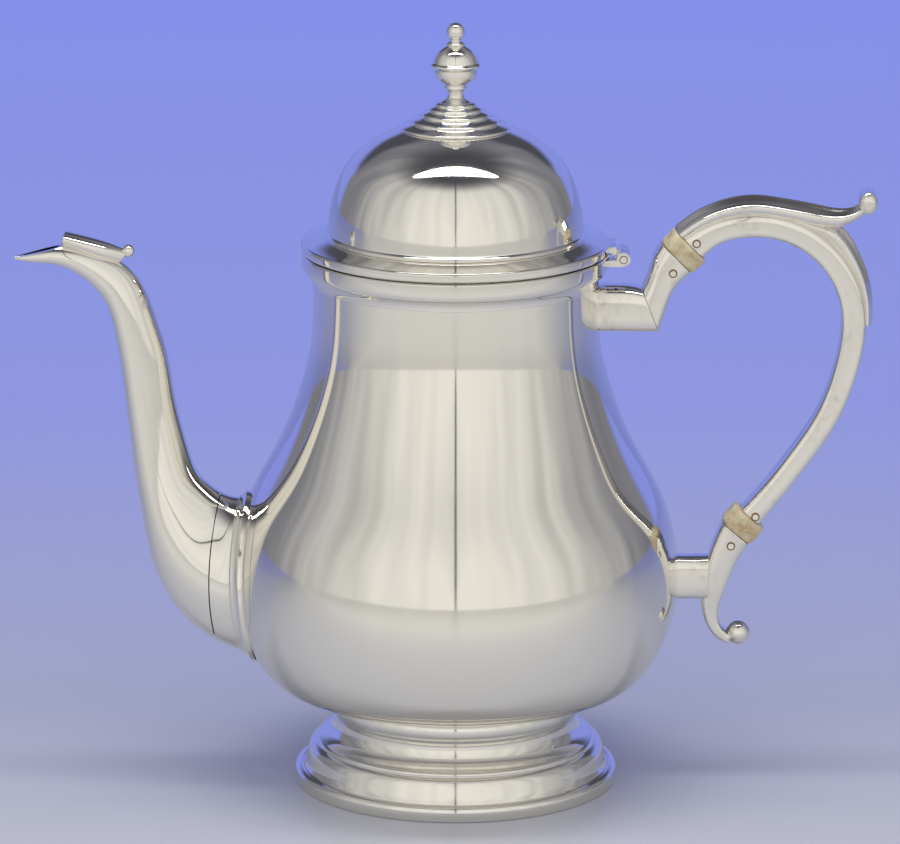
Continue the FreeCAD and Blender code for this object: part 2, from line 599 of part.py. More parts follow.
def build():
    shell = pot_shell()
    spout = spout_open()
    near_body = body_filled(COLLAR_REACH)
    collar = single(spout.common(near_body).fuse(spout_flare()).removeSplitter())
    far_half = spout_far_half(single(spout.cut(near_body)))
    spout_core = spout_filled()
    spout_core = spout_core.fuse(spout_core.mirror(ORIGIN, Y_DIR))
    hood = spout_hood(spout_core)
    grip = grip_filled()
    leaf = thumb_leaf(grip)
    scroll = lower_socket_filled()
    return {
        "pot_base": pot_ring(shell, 0.0, BASE_SEAM_Z),
        "pot_body": pot_ring(shell, BASE_SEAM_Z, NECK_SEAM_Z),
        "pot_neck": pot_ring(shell, NECK_SEAM_Z, RIM_Z + 10.0),
        "neck_rim": neck_rim(),
        "foot_pedestal": foot_pedestal(),
        "foot_base_ring": foot_base_ring(),
        "spout_base_collar": collar,
        "spout_near_half": far_half.mirror(ORIGIN, Y_DIR),
        "spout_far_half": far_half,
        "spout_hood": hood,
        "spout_hood_bead": spout_hood_bead(spout_core, hood),
        "lid_dome": lid_dome(),
        "lid_flange": lid_flange(),
        "lid_bezel": lid_bezel(),
        "finial_collet": finial_collet(),
        "finial": finial(),
        "finial_stud": finial_stud(),
        "finial_washer": finial_washer(),
        "finial_nut": finial_nut(),
        "hinge_body_leaf": hinge_body_leaf(),
        "hinge_lid_leaf": hinge_lid_leaf(),
        "hinge_pin": hinge_pin(),
        "upper_socket": upper_socket(),
        "upper_insulator": upper_insulator(),
        "upper_grip_rivet": rivet(UP_GRIP_RIVET, GRIP_WIDTH + 0.3),
        "upper_socket_rivet": rivet(UP_SOCKET_RIVET, 5.4),
        "handle_grip": handle_grip(grip),
        "thumb_leaf": leaf,
        "thumb_leaf_curl": thumb_leaf_curl(),
        "back_leaf": back_leaf(grip, leaf),
        "lower_insulator": lower_insulator(),
        "lower_grip_rivet": rivet(LOW_GRIP_RIVET, GRIP_WIDTH + 0.1),
        "lower_socket_rivet": rivet(LOW_SOCKET_RIVET, 4.6),
        "lower_socket": lower_socket(scroll),
        "lower_scroll_bud": lower_scroll_bud(),
        "lower_stub": lower_stub(scroll),
    }


os.makedirs("parts", exist_ok=True)
for name, shape in build().items():
    shape.exportStep("parts/" + name + ".step")
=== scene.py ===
import math

import bmesh
import bpy
import numpy as np
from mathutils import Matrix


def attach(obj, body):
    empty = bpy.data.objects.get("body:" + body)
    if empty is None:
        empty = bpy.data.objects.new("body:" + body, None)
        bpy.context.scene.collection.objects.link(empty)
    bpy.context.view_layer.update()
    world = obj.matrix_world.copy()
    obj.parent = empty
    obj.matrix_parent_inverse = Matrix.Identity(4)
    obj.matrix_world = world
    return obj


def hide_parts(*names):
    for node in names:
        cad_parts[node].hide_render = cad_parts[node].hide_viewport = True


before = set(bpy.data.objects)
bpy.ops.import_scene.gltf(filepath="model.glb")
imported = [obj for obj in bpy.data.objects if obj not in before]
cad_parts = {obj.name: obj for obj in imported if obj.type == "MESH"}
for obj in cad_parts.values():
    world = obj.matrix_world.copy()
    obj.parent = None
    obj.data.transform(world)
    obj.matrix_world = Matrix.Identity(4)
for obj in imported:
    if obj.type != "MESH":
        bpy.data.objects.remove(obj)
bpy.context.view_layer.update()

bl_info = {
    "name": "Silver coffee pot",
    "version": (1, 0, 0),
    "blender": (4, 2, 0),
    "location": "View3D > Sidebar > Coffee Pot",
    "description": "Dresses a silver coffee pot with smooth polished pieces",
    "category": "Object",
}

# The pot's sizes are millimetres until a mesh is made.
MM = 0.001
POT = "pot"
LID = "lid"

# Camera, lamp and floor, in metres and degrees
CAMERA_AT = (-0.00156, -1.710, 0.53145)
CAMERA_PITCH = 75.9
CAMERA_LENS = 254.97
LAMP_AT = (0.0, -0.09, 1.15)
LAMP_TILT = 5.0
FLOOR_HALF = 6.0
FLOOR_PALE_Y = -0.30
FLOOR_BLUE_Y = 1.20
# Strength of the painted blue glow on the far floor, seen by the camera only
FLOOR_GLOW = 0.14

# Pot body
WALL = 1.2
FLOOR_Z = 26.6
FLOOR_R = 34.0
NECK_R = 39.2
NECK_Z = 138.0
RIM_Z = 150.5
RIM_R = NECK_R + 3.2
BELLY_R = 62.0
BODY_CURVE = [
    (FLOOR_R, FLOOR_Z), (42.0, FLOOR_Z + 0.3), (48.6, FLOOR_Z + 2.1), (54.2, 33.6), (58.9, 42.0),
    (61.6, 52.0), (BELLY_R, 60.0), (BELLY_R - 0.8, 67.5), (NECK_R + 18.45, 80.0), (NECK_R + 10.6, 95.0),
    (NECK_R + 4.4, 110.0), (NECK_R + 0.7, 125.0), (NECK_R, NECK_Z),
]
# Height from which the side of the body stands steep enough to measure from
SIDE_FROM_Z = 33.0

# Foot
FOOT_BAND_R = 42.5
FOOT_R = FOOT_BAND_R + 2.5
FOOT_BAND_Z = 4.4
FOOT_WALL = 1.4

# Lid
LID_Z = RIM_Z + 0.4
LID_R = RIM_R + 0.1
FLANGE_TOP_Z = 154.9
DOME_BASE_R = 36.0
DOME_FOOT_Z = 156.4
DOME_SHELL = 1.0
DOME_TOP_Z = 184.6
DOME_TOP_R = 15.0
DOME_CURVE = [
    (DOME_BASE_R - 0.8, DOME_FOOT_Z), (34.9, 160.0), (34.2, 164.2), (32.9, 168.5), (30.3, 174.0),
    (26.0, 178.6), (20.5, 182.3), (DOME_TOP_R, DOME_TOP_Z),
]
STUD_R = 1.5
COLLET_TOP_Z = 192.1

# Spout: centre X, centre Z, half height in plane, half width, tilt of the section in degrees
SPOUT_WALL = 1.0
SPOUT_SQUARE = 0.78
SPOUT_CROWN = 0.70
SPOUT_ROWS = 260
COLLAR_REACH = 7.5
COLLAR_SUNK = 1.1
COLLAR_SEAM = 0.3
FLARE = 2.4
FLARE_FADE = 1.3
FLARE_EDGE = 0.35
FLARE_EDGE_AT = 2.3
FLARE_EDGE_FADE = 0.25
SPOUT_STATIONS = [
    (-46.0, 57.0, 21.6, 16.6, 91.0), (-57.0, 58.2, 20.9, 15.8, 88.0), (-64.8, 60.5, 20.4, 14.9, 85.0),
    (-71.4, 65.6, 17.6, 13.2, 71.0), (-76.9, 75.0, 12.7, 10.7, 51.0), (-79.3, 82.0, 9.7, 9.0, 37.0),
    (-81.2, 90.0, 8.2, 7.7, 24.0), (-82.8, 98.7, 7.4, 6.9, 16.0), (-84.1, 106.6, 6.9, 6.4, 11.0),
    (-86.1, 120.5, 6.6, 5.9, 10.0), (-88.1, 129.0, 6.1, 5.7, 17.0), (-90.0, 135.5, 5.8, 5.5, 23.0),
    (-92.7, 140.7, 5.6, 5.2, 38.0), (-96.6, 144.4, 5.0, 4.9, 56.0), (-102.0, 147.6, 4.1, 4.6, 70.0),
    (-109.2, 149.8, 3.1, 4.2, 80.0), (-115.4, 149.4, 2.1, 3.3, 85.0), (-121.2, 148.8, 0.8, 1.5, 88.0),
]
MOUTH_X = -108.1
MOUTH_Z = 152.0
TIP = (-121.6, 148.6)
MOUTH_BLOCK = [TIP, (MOUTH_X, MOUTH_Z), (MOUTH_X, 175.0), (-140.0, 175.0), (-140.0, TIP[1])]
MOUTH_BLOCK_HALF = 20.0
HOOD_SQUARE = 0.72
HOOD_STATIONS = [
    (-107.8, 154.3, 1.8, 4.3, 74.0), (-101.0, 152.2, 2.2, 4.4, 71.0),
    (-95.4, 150.2, 2.4, 3.5, 66.0), (-91.2, 148.8, 2.0, 1.9, 60.0),
]
BEAD_R = 1.8
BEAD_AT = (-89.9, 150.4)

# Hinge pin: X, Z and half length
PIN_R = 0.9
PIN_RIM_R = PIN_R + 0.25
PIN_RIM_SUNK = 0.12
HINGE_PIN = (RIM_R + 3.6, 149.2, 6.25)

# Insulators: centre X, centre Z, tilt in degrees, thickness, half height, half width
INSULATOR_UP = (62.7, 150.6, 45.0, 5.1, 6.1, 5.9)
INSULATOR_LOW = (79.7, 73.1, 49.5, 6.0, 5.4, 5.3)
INSULATOR_SQUARE = 0.78
INSULATOR_FLAT = 0.72
INSULATOR_ROUND = 0.75
INSULATOR_SWELL = 0.18

# Handle: its stations are given as those of the spout
SOCKET_SQUARE = 0.82
GRIP_SQUARE = 0.84
RIDGE_CROWN = 0.8
UPPER_STUB = [
    (38.3, 134.6, 6.5, 6.0, 90.0), (46.0, 134.6, 6.4, 6.0, 90.0), (53.65, 134.15, 6.4, 5.9, 111.0),
]
UPPER_RISER = [
    (53.65, 134.15, 6.4, 5.9, 111.0), (55.7, 139.8, 5.1, 5.6, 120.0),
    (57.9, 145.0, 5.0, 5.4, 128.0), (60.9, 148.8, 5.6, 5.4, 135.0),
]
RISER_RIDGE = [
    (51.8, 139.2, 1.6, 4.9, 111.0), (53.7, 143.3, 1.6, 4.8, 120.0), (55.4, 148.1, 1.6, 4.7, 128.0),
    (57.6, 152.1, 1.6, 4.7, 135.0),
]
GRIP_ARC_C = (82.0, 130.5)
GRIP_ARC_R = 27.6
GRIP_BACK_C = (44.3, 133.8)
GRIP_BACK_R = 65.4
GRIP_TURNS = (128.6, -5.0, -37.6)
GRIP_HALF = 3.5
GRIP_HALF_LOW = 3.2
GRIP_WIDTH = 4.3
LEAF_TOP_R = 34.5
LEAF_SUNK_R = 30.2
LEAF_HALF_WIDTH = 4.6
LEAF_SQUARE = 0.9
LEAF_CROWN = 0.56
LEAF_BROW = 0.37
# Thumb leaf: angle on the grip's arc and rise of the top, then under side, upper side and half width
THUMB_ARC = [(129.5, 0.2), (117.0, 0.6), (104.0, 1.0), (90.0, 1.25), (78.0, 1.15)]
THUMB_END = [
    ((97.2, 158.0), (98.4, 163.7), 4.2), ((105.6, 157.6), (105.9, 162.4), 3.4),
    ((110.2, 159.6), (109.2, 162.9), 3.0), ((113.0, 161.9), (111.2, 163.9), 2.8),
]
# Back leaf: angle on the grip's arc, radius of the top, half width
BACK_BROW = 0.3
BACK_LEAF = [
    (70.0, 31.6, 3.3), (64.0, 32.5, 3.5), (58.0, 33.5, 3.5), (53.0, 35.2, 3.5), (46.0, 36.0, 3.5),
    (38.0, 35.3, 3.5), (26.0, 34.3, 3.4), (12.0, 33.4, 3.1), (-2.0, 32.7, 2.6),
]
CURL_AT = (113.1, 163.6)
CURL_R = 2.5
CURL_HALF = 4.0
CURL_LIFT = 0.7
CURL_STRETCH = 1.25
LOWER_SOCKET = [
    (77.75, 70.82, 4.9, 4.9, 139.5), (75.4, 66.4, 4.3, 4.5, 150.0), (73.2, 60.6, 3.9, 4.2, 163.0),
    (71.6, 54.5, 3.3, 3.9, 172.0), (70.9, 49.3, 2.5, 3.5, 181.0), (71.5, 45.2, 1.9, 3.2, 203.0),
    (73.4, 41.9, 1.6, 3.0, 226.0), (76.3, 39.9, 1.3, 2.8, 252.0),
]
BUD_AT = (78.7, 41.5)
BUD_R = 3.35
RIVET_R = 0.8
RIVET_RIM_R = 1.2
RIVET_RIM_SUNK = 0.18
RIVET_SPOTS = [(66.0, 153.4, 4.95), (59.6, 145.2, 5.8), (83.0, 75.9, 4.8), (76.3, 67.6, 5.05)]
LOWER_STUB = [
    (60.9, 57.8, 6.1, 4.6, 90.0), (65.0, 57.8, 6.0, 4.6, 90.0), (70.2, 57.8, 6.1, 4.6, 90.0),
]


# Curves and meshes

def cubic(knots, values, where):
    """Natural cubic through values at knots, read at the places where."""
    n = len(knots)
    h = np.diff(knots)
    rows = np.zeros((n, n))
    right = np.zeros((n, values.shape[1]))
    rows[0, 0] = rows[-1, -1] = 1.0
    for i in range(1, n - 1):
        rows[i, i - 1:i + 2] = h[i - 1], 2 * (h[i - 1] + h[i]), h[i]
        right[i] = 6 * ((values[i + 1] - values[i]) / h[i] - (values[i] - values[i - 1]) / h[i - 1])
    bend = np.linalg.solve(rows, right)
    i = np.clip(np.searchsorted(knots, where) - 1, 0, n - 2)
    a = ((knots[i + 1] - where) / h[i])[:, None]
    b = 1 - a
    lift = ((a ** 3 - a) * bend[i] + (b ** 3 - b) * bend[i + 1]) * (h[i] ** 2)[:, None] / 6
    return a * values[i] + b * values[i + 1] + lift


def smooth(points, count=24):
    """Points along a smooth curve through the given ones."""
    values = np.array(points, float)
    knots = np.concatenate([[0], np.cumsum(np.linalg.norm(np.diff(values, axis=0), axis=1))])
    return [tuple(p) for p in cubic(knots, values, np.linspace(0, knots[-1], count))]


def inset(points, distance):
    """A sampled curve moved sideways towards the axis."""
    values = np.array(points, float)
    along = np.gradient(values, axis=0)
    along /= np.linalg.norm(along, axis=1)[:, None]
    moved = values + np.stack([-along[:, 1], along[:, 0]], 1) * distance
    return [tuple(p) for p in moved]


def soften(points, reach=0.18):
    """Cuts each sharp corner of an outline back into a small round."""
    clean = [points[0]]
    for p in points[1:]:
        if math.dist(p, clean[-1]) > 1e-4:
            clean.append(p)
    out = [clean[0]]
    for a, p, b in zip(clean, clean[1:], clean[2:]):
        u = np.subtract(a, p)
        v = np.subtract(b, p)
        lu, lv = np.linalg.norm(u), np.linalg.norm(v)
        turn = math.acos(max(-1.0, min(1.0, float(-u @ v / lu / lv))))
        if turn < math.radians(14):
            out.append(p)
            continue
        near = np.add(p, u / lu * min(reach, lu * 0.4))
        far = np.add(p, v / lv * min(reach, lv * 0.4))
        middle = 0.25 * near + 0.5 * np.array(p) + 0.25 * far
        out += [tuple(near), tuple(middle), tuple(far)]
    return out + [clean[-1]]


def add(tree, kind, values=None, stops=(), **settings):
    """Adds one node, sets its properties and colour stops, fills its sockets with constants or links."""
    node = tree.nodes.new(kind)
    for name, setting in settings.items():
        setattr(node, name, setting)
    for i, (place, code) in enumerate(stops):
        stop = node.color_ramp.elements[i] if i < 2 else node.color_ramp.elements.new(place)
        stop.position = place
        stop.color = srgb(code)
    for key, value in (values or {}).items():
        if isinstance(value, bpy.types.NodeSocket):
            tree.links.new(value, node.inputs[key])
        else:
            node.inputs[key].default_value = value
    return node


def shape_tree(name, sizes):
    """Empty shape tree with a geometry in and out and named inputs for its sizes."""
    tree = bpy.data.node_groups.new(name, "GeometryNodeTree")
    for title, kind in [("Geometry", "Geometry")] + sizes + [("Material", "Material")]:
        tree.interface.new_socket(title, in_out="INPUT", socket_type="NodeSocket" + kind)
    tree.interface.new_socket("Geometry", in_out="OUTPUT", socket_type="NodeSocketGeometry")
    return tree, add(tree, "NodeGroupInput").outputs


def end_tree(tree, shape, material):
    """Closes a shape tree: real mesh, smooth shading, material."""
    real = add(tree, "GeometryNodeRealizeInstances", {"Geometry": shape})
    even = add(tree, "GeometryNodeSetShadeSmooth", {"Geometry": real.outputs[0]})
    done = add(tree, "GeometryNodeSetMaterial", {"Geometry": even.outputs[0], "Material": material})
    add(tree, "NodeGroupOutput", {"Geometry": done.outputs[0]})
    return tree


def lathe_tree():
    """Turns an outline in the XZ plane round the Z axis."""
    tree, given = shape_tree("Lathe", [("Points", "Int"), ("Segments", "Int")])
    count = given["Points"]
    columns = add(tree, "ShaderNodeMath", {0: given["Segments"], 1: 1.0}, operation="ADD").outputs[0]
    grid = add(tree, "GeometryNodeMeshGrid", {"Vertices X": columns, "Vertices Y": count})
    index = add(tree, "GeometryNodeInputIndex").outputs[0]
    safe = add(tree, "ShaderNodeMath", {0: index, 1: 0.25}, operation="ADD").outputs[0]
    share = add(tree, "ShaderNodeMath", {0: safe, 1: count}, operation="DIVIDE").outputs[0]
    step = add(tree, "ShaderNodeMath", {0: share}, operation="FLOOR").outputs[0]
    rest = add(tree, "ShaderNodeMath", {0: safe, 1: count}, operation="MODULO").outputs[0]
    spot = add(tree, "ShaderNodeMath", {0: rest}, operation="FLOOR").outputs[0]
    here = add(tree, "GeometryNodeInputPosition").outputs[0]
    sample = add(tree, "GeometryNodeSampleIndex", data_type="FLOAT_VECTOR")
    for key, value in (("Geometry", given["Geometry"]), ("Value", here), ("Index", spot)):
        tree.links.new(value, sample.inputs[key])
    part = add(tree, "ShaderNodeSeparateXYZ", {0: sample.outputs[0]}).outputs
    whole = add(tree, "ShaderNodeMath", {0: step, 1: 2 * math.pi}, operation="MULTIPLY").outputs[0]
    angle = add(tree, "ShaderNodeMath", {0: whole, 1: given["Segments"]}, operation="DIVIDE").outputs[0]
    cosine = add(tree, "ShaderNodeMath", {0: angle}, operation="COSINE").outputs[0]
    sine = add(tree, "ShaderNodeMath", {0: angle}, operation="SINE").outputs[0]
    x = add(tree, "ShaderNodeMath", {0: part[0], 1: cosine}, operation="MULTIPLY").outputs[0]
    y = add(tree, "ShaderNodeMath", {0: part[0], 1: sine}, operation="MULTIPLY").outputs[0]
    place = add(tree, "ShaderNodeCombineXYZ", {0: x, 1: y, 2: part[2]}).outputs[0]
    moved = add(tree, "GeometryNodeSetPosition", {"Geometry": grid.outputs["Mesh"], "Position": place})
    weld = add(tree, "GeometryNodeMergeByDistance", {"Geometry": moved.outputs[0], "Distance": 1e-6})
    return end_tree(tree, weld.outputs[0], given["Material"])


def rivet_tree():
    """Sets a cross pin along Y at every point; a point's Y gives the half length of its pin."""
    tree, given = shape_tree("Rivets", [("Radius", "Float")])
    here = add(tree, "GeometryNodeInputPosition").outputs[0]
    part = add(tree, "ShaderNodeSeparateXYZ", {0: here}).outputs
    middle = add(tree, "ShaderNodeCombineXYZ", {0: part[0], 2: part[2]}).outputs[0]
    size = add(tree, "ShaderNodeCombineXYZ", {0: 1.0, 1: 1.0, 2: part[1]}).outputs[0]
    kept = add(tree, "GeometryNodeStoreNamedAttribute", data_type="FLOAT_VECTOR", domain="POINT")
    kept.inputs["Name"].default_value = "pin_size"
    tree.links.new(given["Geometry"], kept.inputs["Geometry"])
    tree.links.new(size, kept.inputs["Value"])
    moved = add(tree, "GeometryNodeSetPosition", {"Geometry": kept.outputs[0], "Position": middle})
    dots = add(tree, "GeometryNodeMeshToPoints", {"Mesh": moved.outputs[0]})
    pin = add(tree, "GeometryNodeMeshCylinder", {"Vertices": 40, "Radius": given["Radius"], "Depth": 2.0})
    named = add(tree, "GeometryNodeInputNamedAttribute", {"Name": "pin_size"}, data_type="FLOAT_VECTOR")
    pins = add(tree, "GeometryNodeInstanceOnPoints", {
        "Points": dots.outputs[0], "Instance": pin.outputs[0],
        "Rotation": (math.pi / 2, 0.0, 0.0), "Scale": named.outputs[0],
    })
    return end_tree(tree, pins.outputs[0], given["Material"])


def grown(obj, make_tree, values):
    """Runs a shape tree on an object and leaves the result as a plain mesh."""
    tree = bpy.data.node_groups.get(make_tree.__name__) or make_tree()
    tree.name = make_tree.__name__
    step = obj.modifiers.new("Shape", "NODES")
    step.node_group = tree
    for item in tree.interface.items_tree:
        if item.in_out == "INPUT" and item.name in values:
            step[item.identifier] = values[item.name]
    bpy.context.view_layer.update()
    made = bpy.data.meshes.new_from_object(obj.evaluated_get(bpy.context.evaluated_depsgraph_get()))
    obj.modifiers.clear()
    made.name = obj.name
    obj.data = made
    outward(obj)
    return obj


def new_object(name, mesh):
    """Object for a mesh, linked to the scene."""
    obj = bpy.data.objects.new(name, mesh)
    bpy.context.scene.collection.objects.link(obj)
    return obj


def turned(name, outline, material, segments):
    """Smooth turned piece from an outline of (r, z) points."""
    points = soften(outline)
    mesh = bpy.data.meshes.new(name)
    edges = [(i, i + 1) for i in range(len(points) - 1)]
    mesh.from_pydata([(max(r, 0.0) * MM, 0.0, z * MM) for r, z in points], edges, [])
    values = {"Points": len(points), "Segments": segments, "Material": material}
    return grown(new_object(name, mesh), lathe_tree, values)


def rivets(name, spots, radius, material):
    """Cross pins of one radius from (x, z, half length) spots."""
    mesh = bpy.data.meshes.new(name)
    mesh.from_pydata([(x * MM, half * MM, z * MM) for x, z, half in spots], [], [])
    obj = grown(new_object(name, mesh), rivet_tree, {"Radius": radius * MM, "Material": material})
    for attribute in [a for a in obj.data.attributes if a.name == "pin_size"]:
        obj.data.attributes.remove(attribute)
    shade(obj, 30.0)
    return obj


def outward(obj):
    """Turns every face of a closed mesh to the outside."""
    work = bmesh.new()
    work.from_mesh(obj.data)
    bmesh.ops.remove_doubles(work, verts=work.verts, dist=1e-7)
    bmesh.ops.recalc_face_normals(work, faces=work.faces)
    work.to_mesh(obj.data)
    work.free()


def ring_of(square, count, crown=1.0, brow=0.0):
    """Unit section as pairs (up, across): a rounded square.

    A crown below 1 narrows its upper side, and a brow slopes that side like a roof.
    """
    top = square * crown
    high = square * (1 - brow)
    tuck = square * (1 - 0.75 * brow)
    corner = [(1, 0), (high, top), (0, 1), (-square, tuck)]
    corner += [(-1, 0), (-square, -tuck), (0, -1), (high, -top)]
    values = np.array(corner * 3 + corner[:1], float)
    return cubic(np.arange(len(values), dtype=float), values, 8 + np.arange(count) * 8 / count)


def station_rows(stations, count):
    """Stations spaced smoothly along their own path."""
    values = np.array(stations, float)
    run = np.linalg.norm(np.diff(values[:, :2], axis=0), axis=1)
    knots = np.concatenate([[0], np.cumsum(run)])
    return cubic(knots, values, np.linspace(0, knots[-1], count))


def grid_of(rows, square, around, shrink=0.0, crown=1.0, brow=0.0):
    """Points of a lofted form, row by row, in millimetres."""
    ring = ring_of(square, around, crown, brow)
    tilt = np.radians(rows[:, 4])
    up = np.stack([np.cos(tilt), np.zeros(len(rows)), np.sin(tilt)], 1)
    high = np.maximum(rows[:, 2] - shrink, rows[:, 2] * 0.4)[:, None] * ring[None, :, 0]
    wide = np.maximum(rows[:, 3] - shrink, rows[:, 3] * 0.4)[:, None] * ring[None, :, 1]
    centre = np.stack([rows[:, 0], np.zeros(len(rows)), rows[:, 1]], 1)
    grid = centre[:, None, :] + high[:, :, None] * up[:, None, :]
    grid[:, :, 1] += wide
    return grid


def mesh_from_grids(name, grids, material, capped=True):
    """Mesh of one or more lofted grids, each closed at both ends where capped."""
    verts, faces = [], []
    for grid in grids:
        rows, around = grid.shape[:2]
        base = len(verts)
        verts += [tuple(p * MM) for p in grid.reshape(-1, 3)]
        for i in range(rows - 1):
            for j in range(around):
                k = (j + 1) % around
                faces.append((base + i * around + j, base + i * around + k,
                              base + (i + 1) * around + k, base + (i + 1) * around + j))
        if capped:
            faces.append(tuple(base + j for j in range(around)))
            faces.append(tuple(base + (rows - 1) * around + j for j in range(around)))
    mesh = bpy.data.meshes.new(name)
    mesh.from_pydata(verts, [], faces)
    obj = new_object(name, mesh)
    outward(obj)
    obj.data.materials.append(material)
    shade(obj)
    return obj


def shade(obj, angle=38.0):
    """Smooth shading, with sharp edges past an angle in degrees."""
    obj.data.shade_smooth()
    obj.data.set_sharp_from_angle(angle=math.radians(angle))


def rounded_ends(rows, reach=0.35):
    """Adds a narrowing row at each end so the edges catch light."""
    first, last = rows[0].copy(), rows[-1].copy()
    step0 = (rows[1] - rows[0])[:2]
    step1 = (rows[-1] - rows[-2])[:2]
    rows[0][:2] += step0 / np.linalg.norm(step0) * reach
    rows[-1][:2] -= step1 / np.linalg.norm(step1) * reach
    first[2:4] -= reach
    last[2:4] -= reach
    middle0, middle1 = rows[0].copy(), rows[-1].copy()
    middle0[:2] = 0.7 * first[:2] + 0.3 * rows[0][:2]
    middle1[:2] = 0.7 * last[:2] + 0.3 * rows[-1][:2]
    middle0[2:4] -= reach * 0.3
    middle1[2:4] -= reach * 0.3
    return np.vstack([first, middle0, rows, middle1, last])


def lofted(name, stations, material, square, rows=60, around=64, ends=0.35, crown=1.0, brow=0.0):
    """Closed form with rounded ends, lofted through stations."""
    made = rounded_ends(station_rows(stations, rows), ends)
    return mesh_from_grids(name, [grid_of(made, square, around, 0.0, crown, brow)], material)


def ball(name, at, radius, material):
    """Round bead centred on the plane Y = 0."""
    mesh = bpy.data.meshes.new(name)
    work = bmesh.new()
    bmesh.ops.create_uvsphere(work, u_segments=48, v_segments=32, radius=radius * MM)
    bmesh.ops.translate(work, verts=work.verts, vec=(at[0] * MM, 0, at[1] * MM))
    work.to_mesh(mesh)
    work.free()
    obj = new_object(name, mesh)
    obj.data.materials.append(material)
    shade(obj, 60.0)
    return obj


def keep(obj, body, slot, *nodes):
    """Sets a finished piece on its body in place of the named solids."""
    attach(obj, body)
    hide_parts(*nodes)


# Materials

def srgb(code):
    """Linear colour from a hex code."""
    parts = [int(code[i:i + 2], 16) / 255 for i in (0, 2, 4)]
    line = [p / 12.92 if p <= 0.04045 else ((p + 0.055) / 1.055) ** 2.4 for p in parts]
    return (*line, 1.0)


def per_mm(size):
    """Noise scale that gives blotches of about this many millimetres."""
    return 1.0 / (size * MM)


def blank(name):
    """New material with its node tree, its surface shader and the object's own coordinates."""
    material = bpy.data.materials.new(name)
    material.use_nodes = True
    tree = material.node_tree
    return material, tree, tree.nodes["Principled BSDF"], add(tree, "ShaderNodeTexCoord").outputs["Object"]


def polished_silver(name, tarnish, cover, rough_low, rough_high):
    """Sterling silver, raised by hand and buffed: a near mirror, softened by wipe marks and scratches.

    Brown tarnish stays in blotches of a few millimetres where a cloth does not reach.
    More cover joins the blotches up.
    """
    material, tree, surface, where = blank(name)
    spots = {"Vector": where, "Scale": per_mm(9.0), "Detail": 5.0}
    blotch = add(tree, "ShaderNodeTexNoise", spots).outputs[0]
    spots = {"Vector": where, "Scale": per_mm(2.2), "Detail": 4.0}
    speck = add(tree, "ShaderNodeTexNoise", spots).outputs[0]
    spread = {0: blotch, 1: 0.50 - cover, 2: 0.78 - cover, 4: tarnish}
    broad = add(tree, "ShaderNodeMapRange", spread).outputs[0]
    small = add(tree, "ShaderNodeMapRange", {0: speck, 1: 0.45 - cover, 2: 0.70 - cover}).outputs[0]
    stain = add(tree, "ShaderNodeMath", {0: broad, 1: small}, operation="MULTIPLY").outputs[0]
    tone = bpy.context.scene.pot_settings
    clean, dark = tuple(tone.silver), tuple(tone.tarnish)
    colour = add(tree, "ShaderNodeMix", {0: stain, 6: clean, 7: dark}, data_type="RGBA")
    tree.links.new(colour.outputs[2], surface.inputs["Base Color"])
    wipe = add(tree, "ShaderNodeMapping", {"Vector": where, "Scale": (1.0, 1.0, 0.5)}).outputs[0]
    smear = add(tree, "ShaderNodeTexNoise", {"Vector": wipe, "Scale": per_mm(12.0), "Detail": 4.0}).outputs[0]
    spread = {0: smear, 1: 0.3, 2: 0.75, 3: rough_low, 4: rough_high}
    gloss = add(tree, "ShaderNodeMapRange", spread).outputs[0]
    tree.links.new(gloss, surface.inputs["Roughness"])
    # Real scratches are a few hundredths of a millimetre apart; these are drawn coarser.
    long = add(tree, "ShaderNodeMapping", {"Vector": where, "Scale": (1.0, 1.0, 8.0)}).outputs[0]
    lines = {"Vector": long, "Scale": per_mm(0.35), "Detail": 2.0}
    scratch = add(tree, "ShaderNodeTexNoise", lines).outputs[0]
    relief = {"Strength": 0.015, "Distance": 0.05 * MM, "Height": scratch}
    bump = add(tree, "ShaderNodeBump", relief).outputs[0]
    tree.links.new(bump, surface.inputs["Normal"])
    surface.inputs["Metallic"].default_value = 1.0
    return material


def aged_ivory(name):
    """Old ivory, sawn and rubbed smooth: warm cream with yellow-brown stains and a faint grain.

    The surface has a soft sheen.
    """
    material, tree, surface, where = blank(name)
    cloud = add(tree, "ShaderNodeTexNoise", {"Vector": where, "Scale": per_mm(3.0), "Detail": 6.0}).outputs[0]
    fibre = add(tree, "ShaderNodeTexNoise", {"Vector": where, "Scale": per_mm(0.7), "Detail": 3.0}).outputs[0]
    stain = add(tree, "ShaderNodeMapRange", {0: cloud, 1: 0.42, 2: 0.72}).outputs[0]
    grain = add(tree, "ShaderNodeMapRange", {0: fibre, 1: 0.35, 2: 0.70}).outputs[0]
    tone = bpy.context.scene.pot_settings
    base = add(tree, "ShaderNodeMix", {0: stain, 6: tuple(tone.ivory), 7: srgb("B58F56")}, data_type="RGBA")
    pale = add(tree, "ShaderNodeMath", {0: grain, 1: 0.35}, operation="MULTIPLY").outputs[0]
    colour = add(tree, "ShaderNodeMix", {0: pale, 6: base.outputs[2], 7: srgb("EFE6CF")}, data_type="RGBA")
    tree.links.new(colour.outputs[2], surface.inputs["Base Color"])
    gloss = add(tree, "ShaderNodeMapRange", {0: grain, 3: 0.34, 4: 0.52}).outputs[0]
    tree.links.new(gloss, surface.inputs["Roughness"])
    bump = add(tree, "ShaderNodeBump", {"Strength": 0.12, "Distance": 0.06 * MM, "Height": grain}).outputs[0]
    tree.links.new(bump, surface.inputs["Normal"])
    surface.inputs["IOR"].default_value = 1.54
    surface.inputs["Subsurface Weight"].default_value = 0.08
    return material


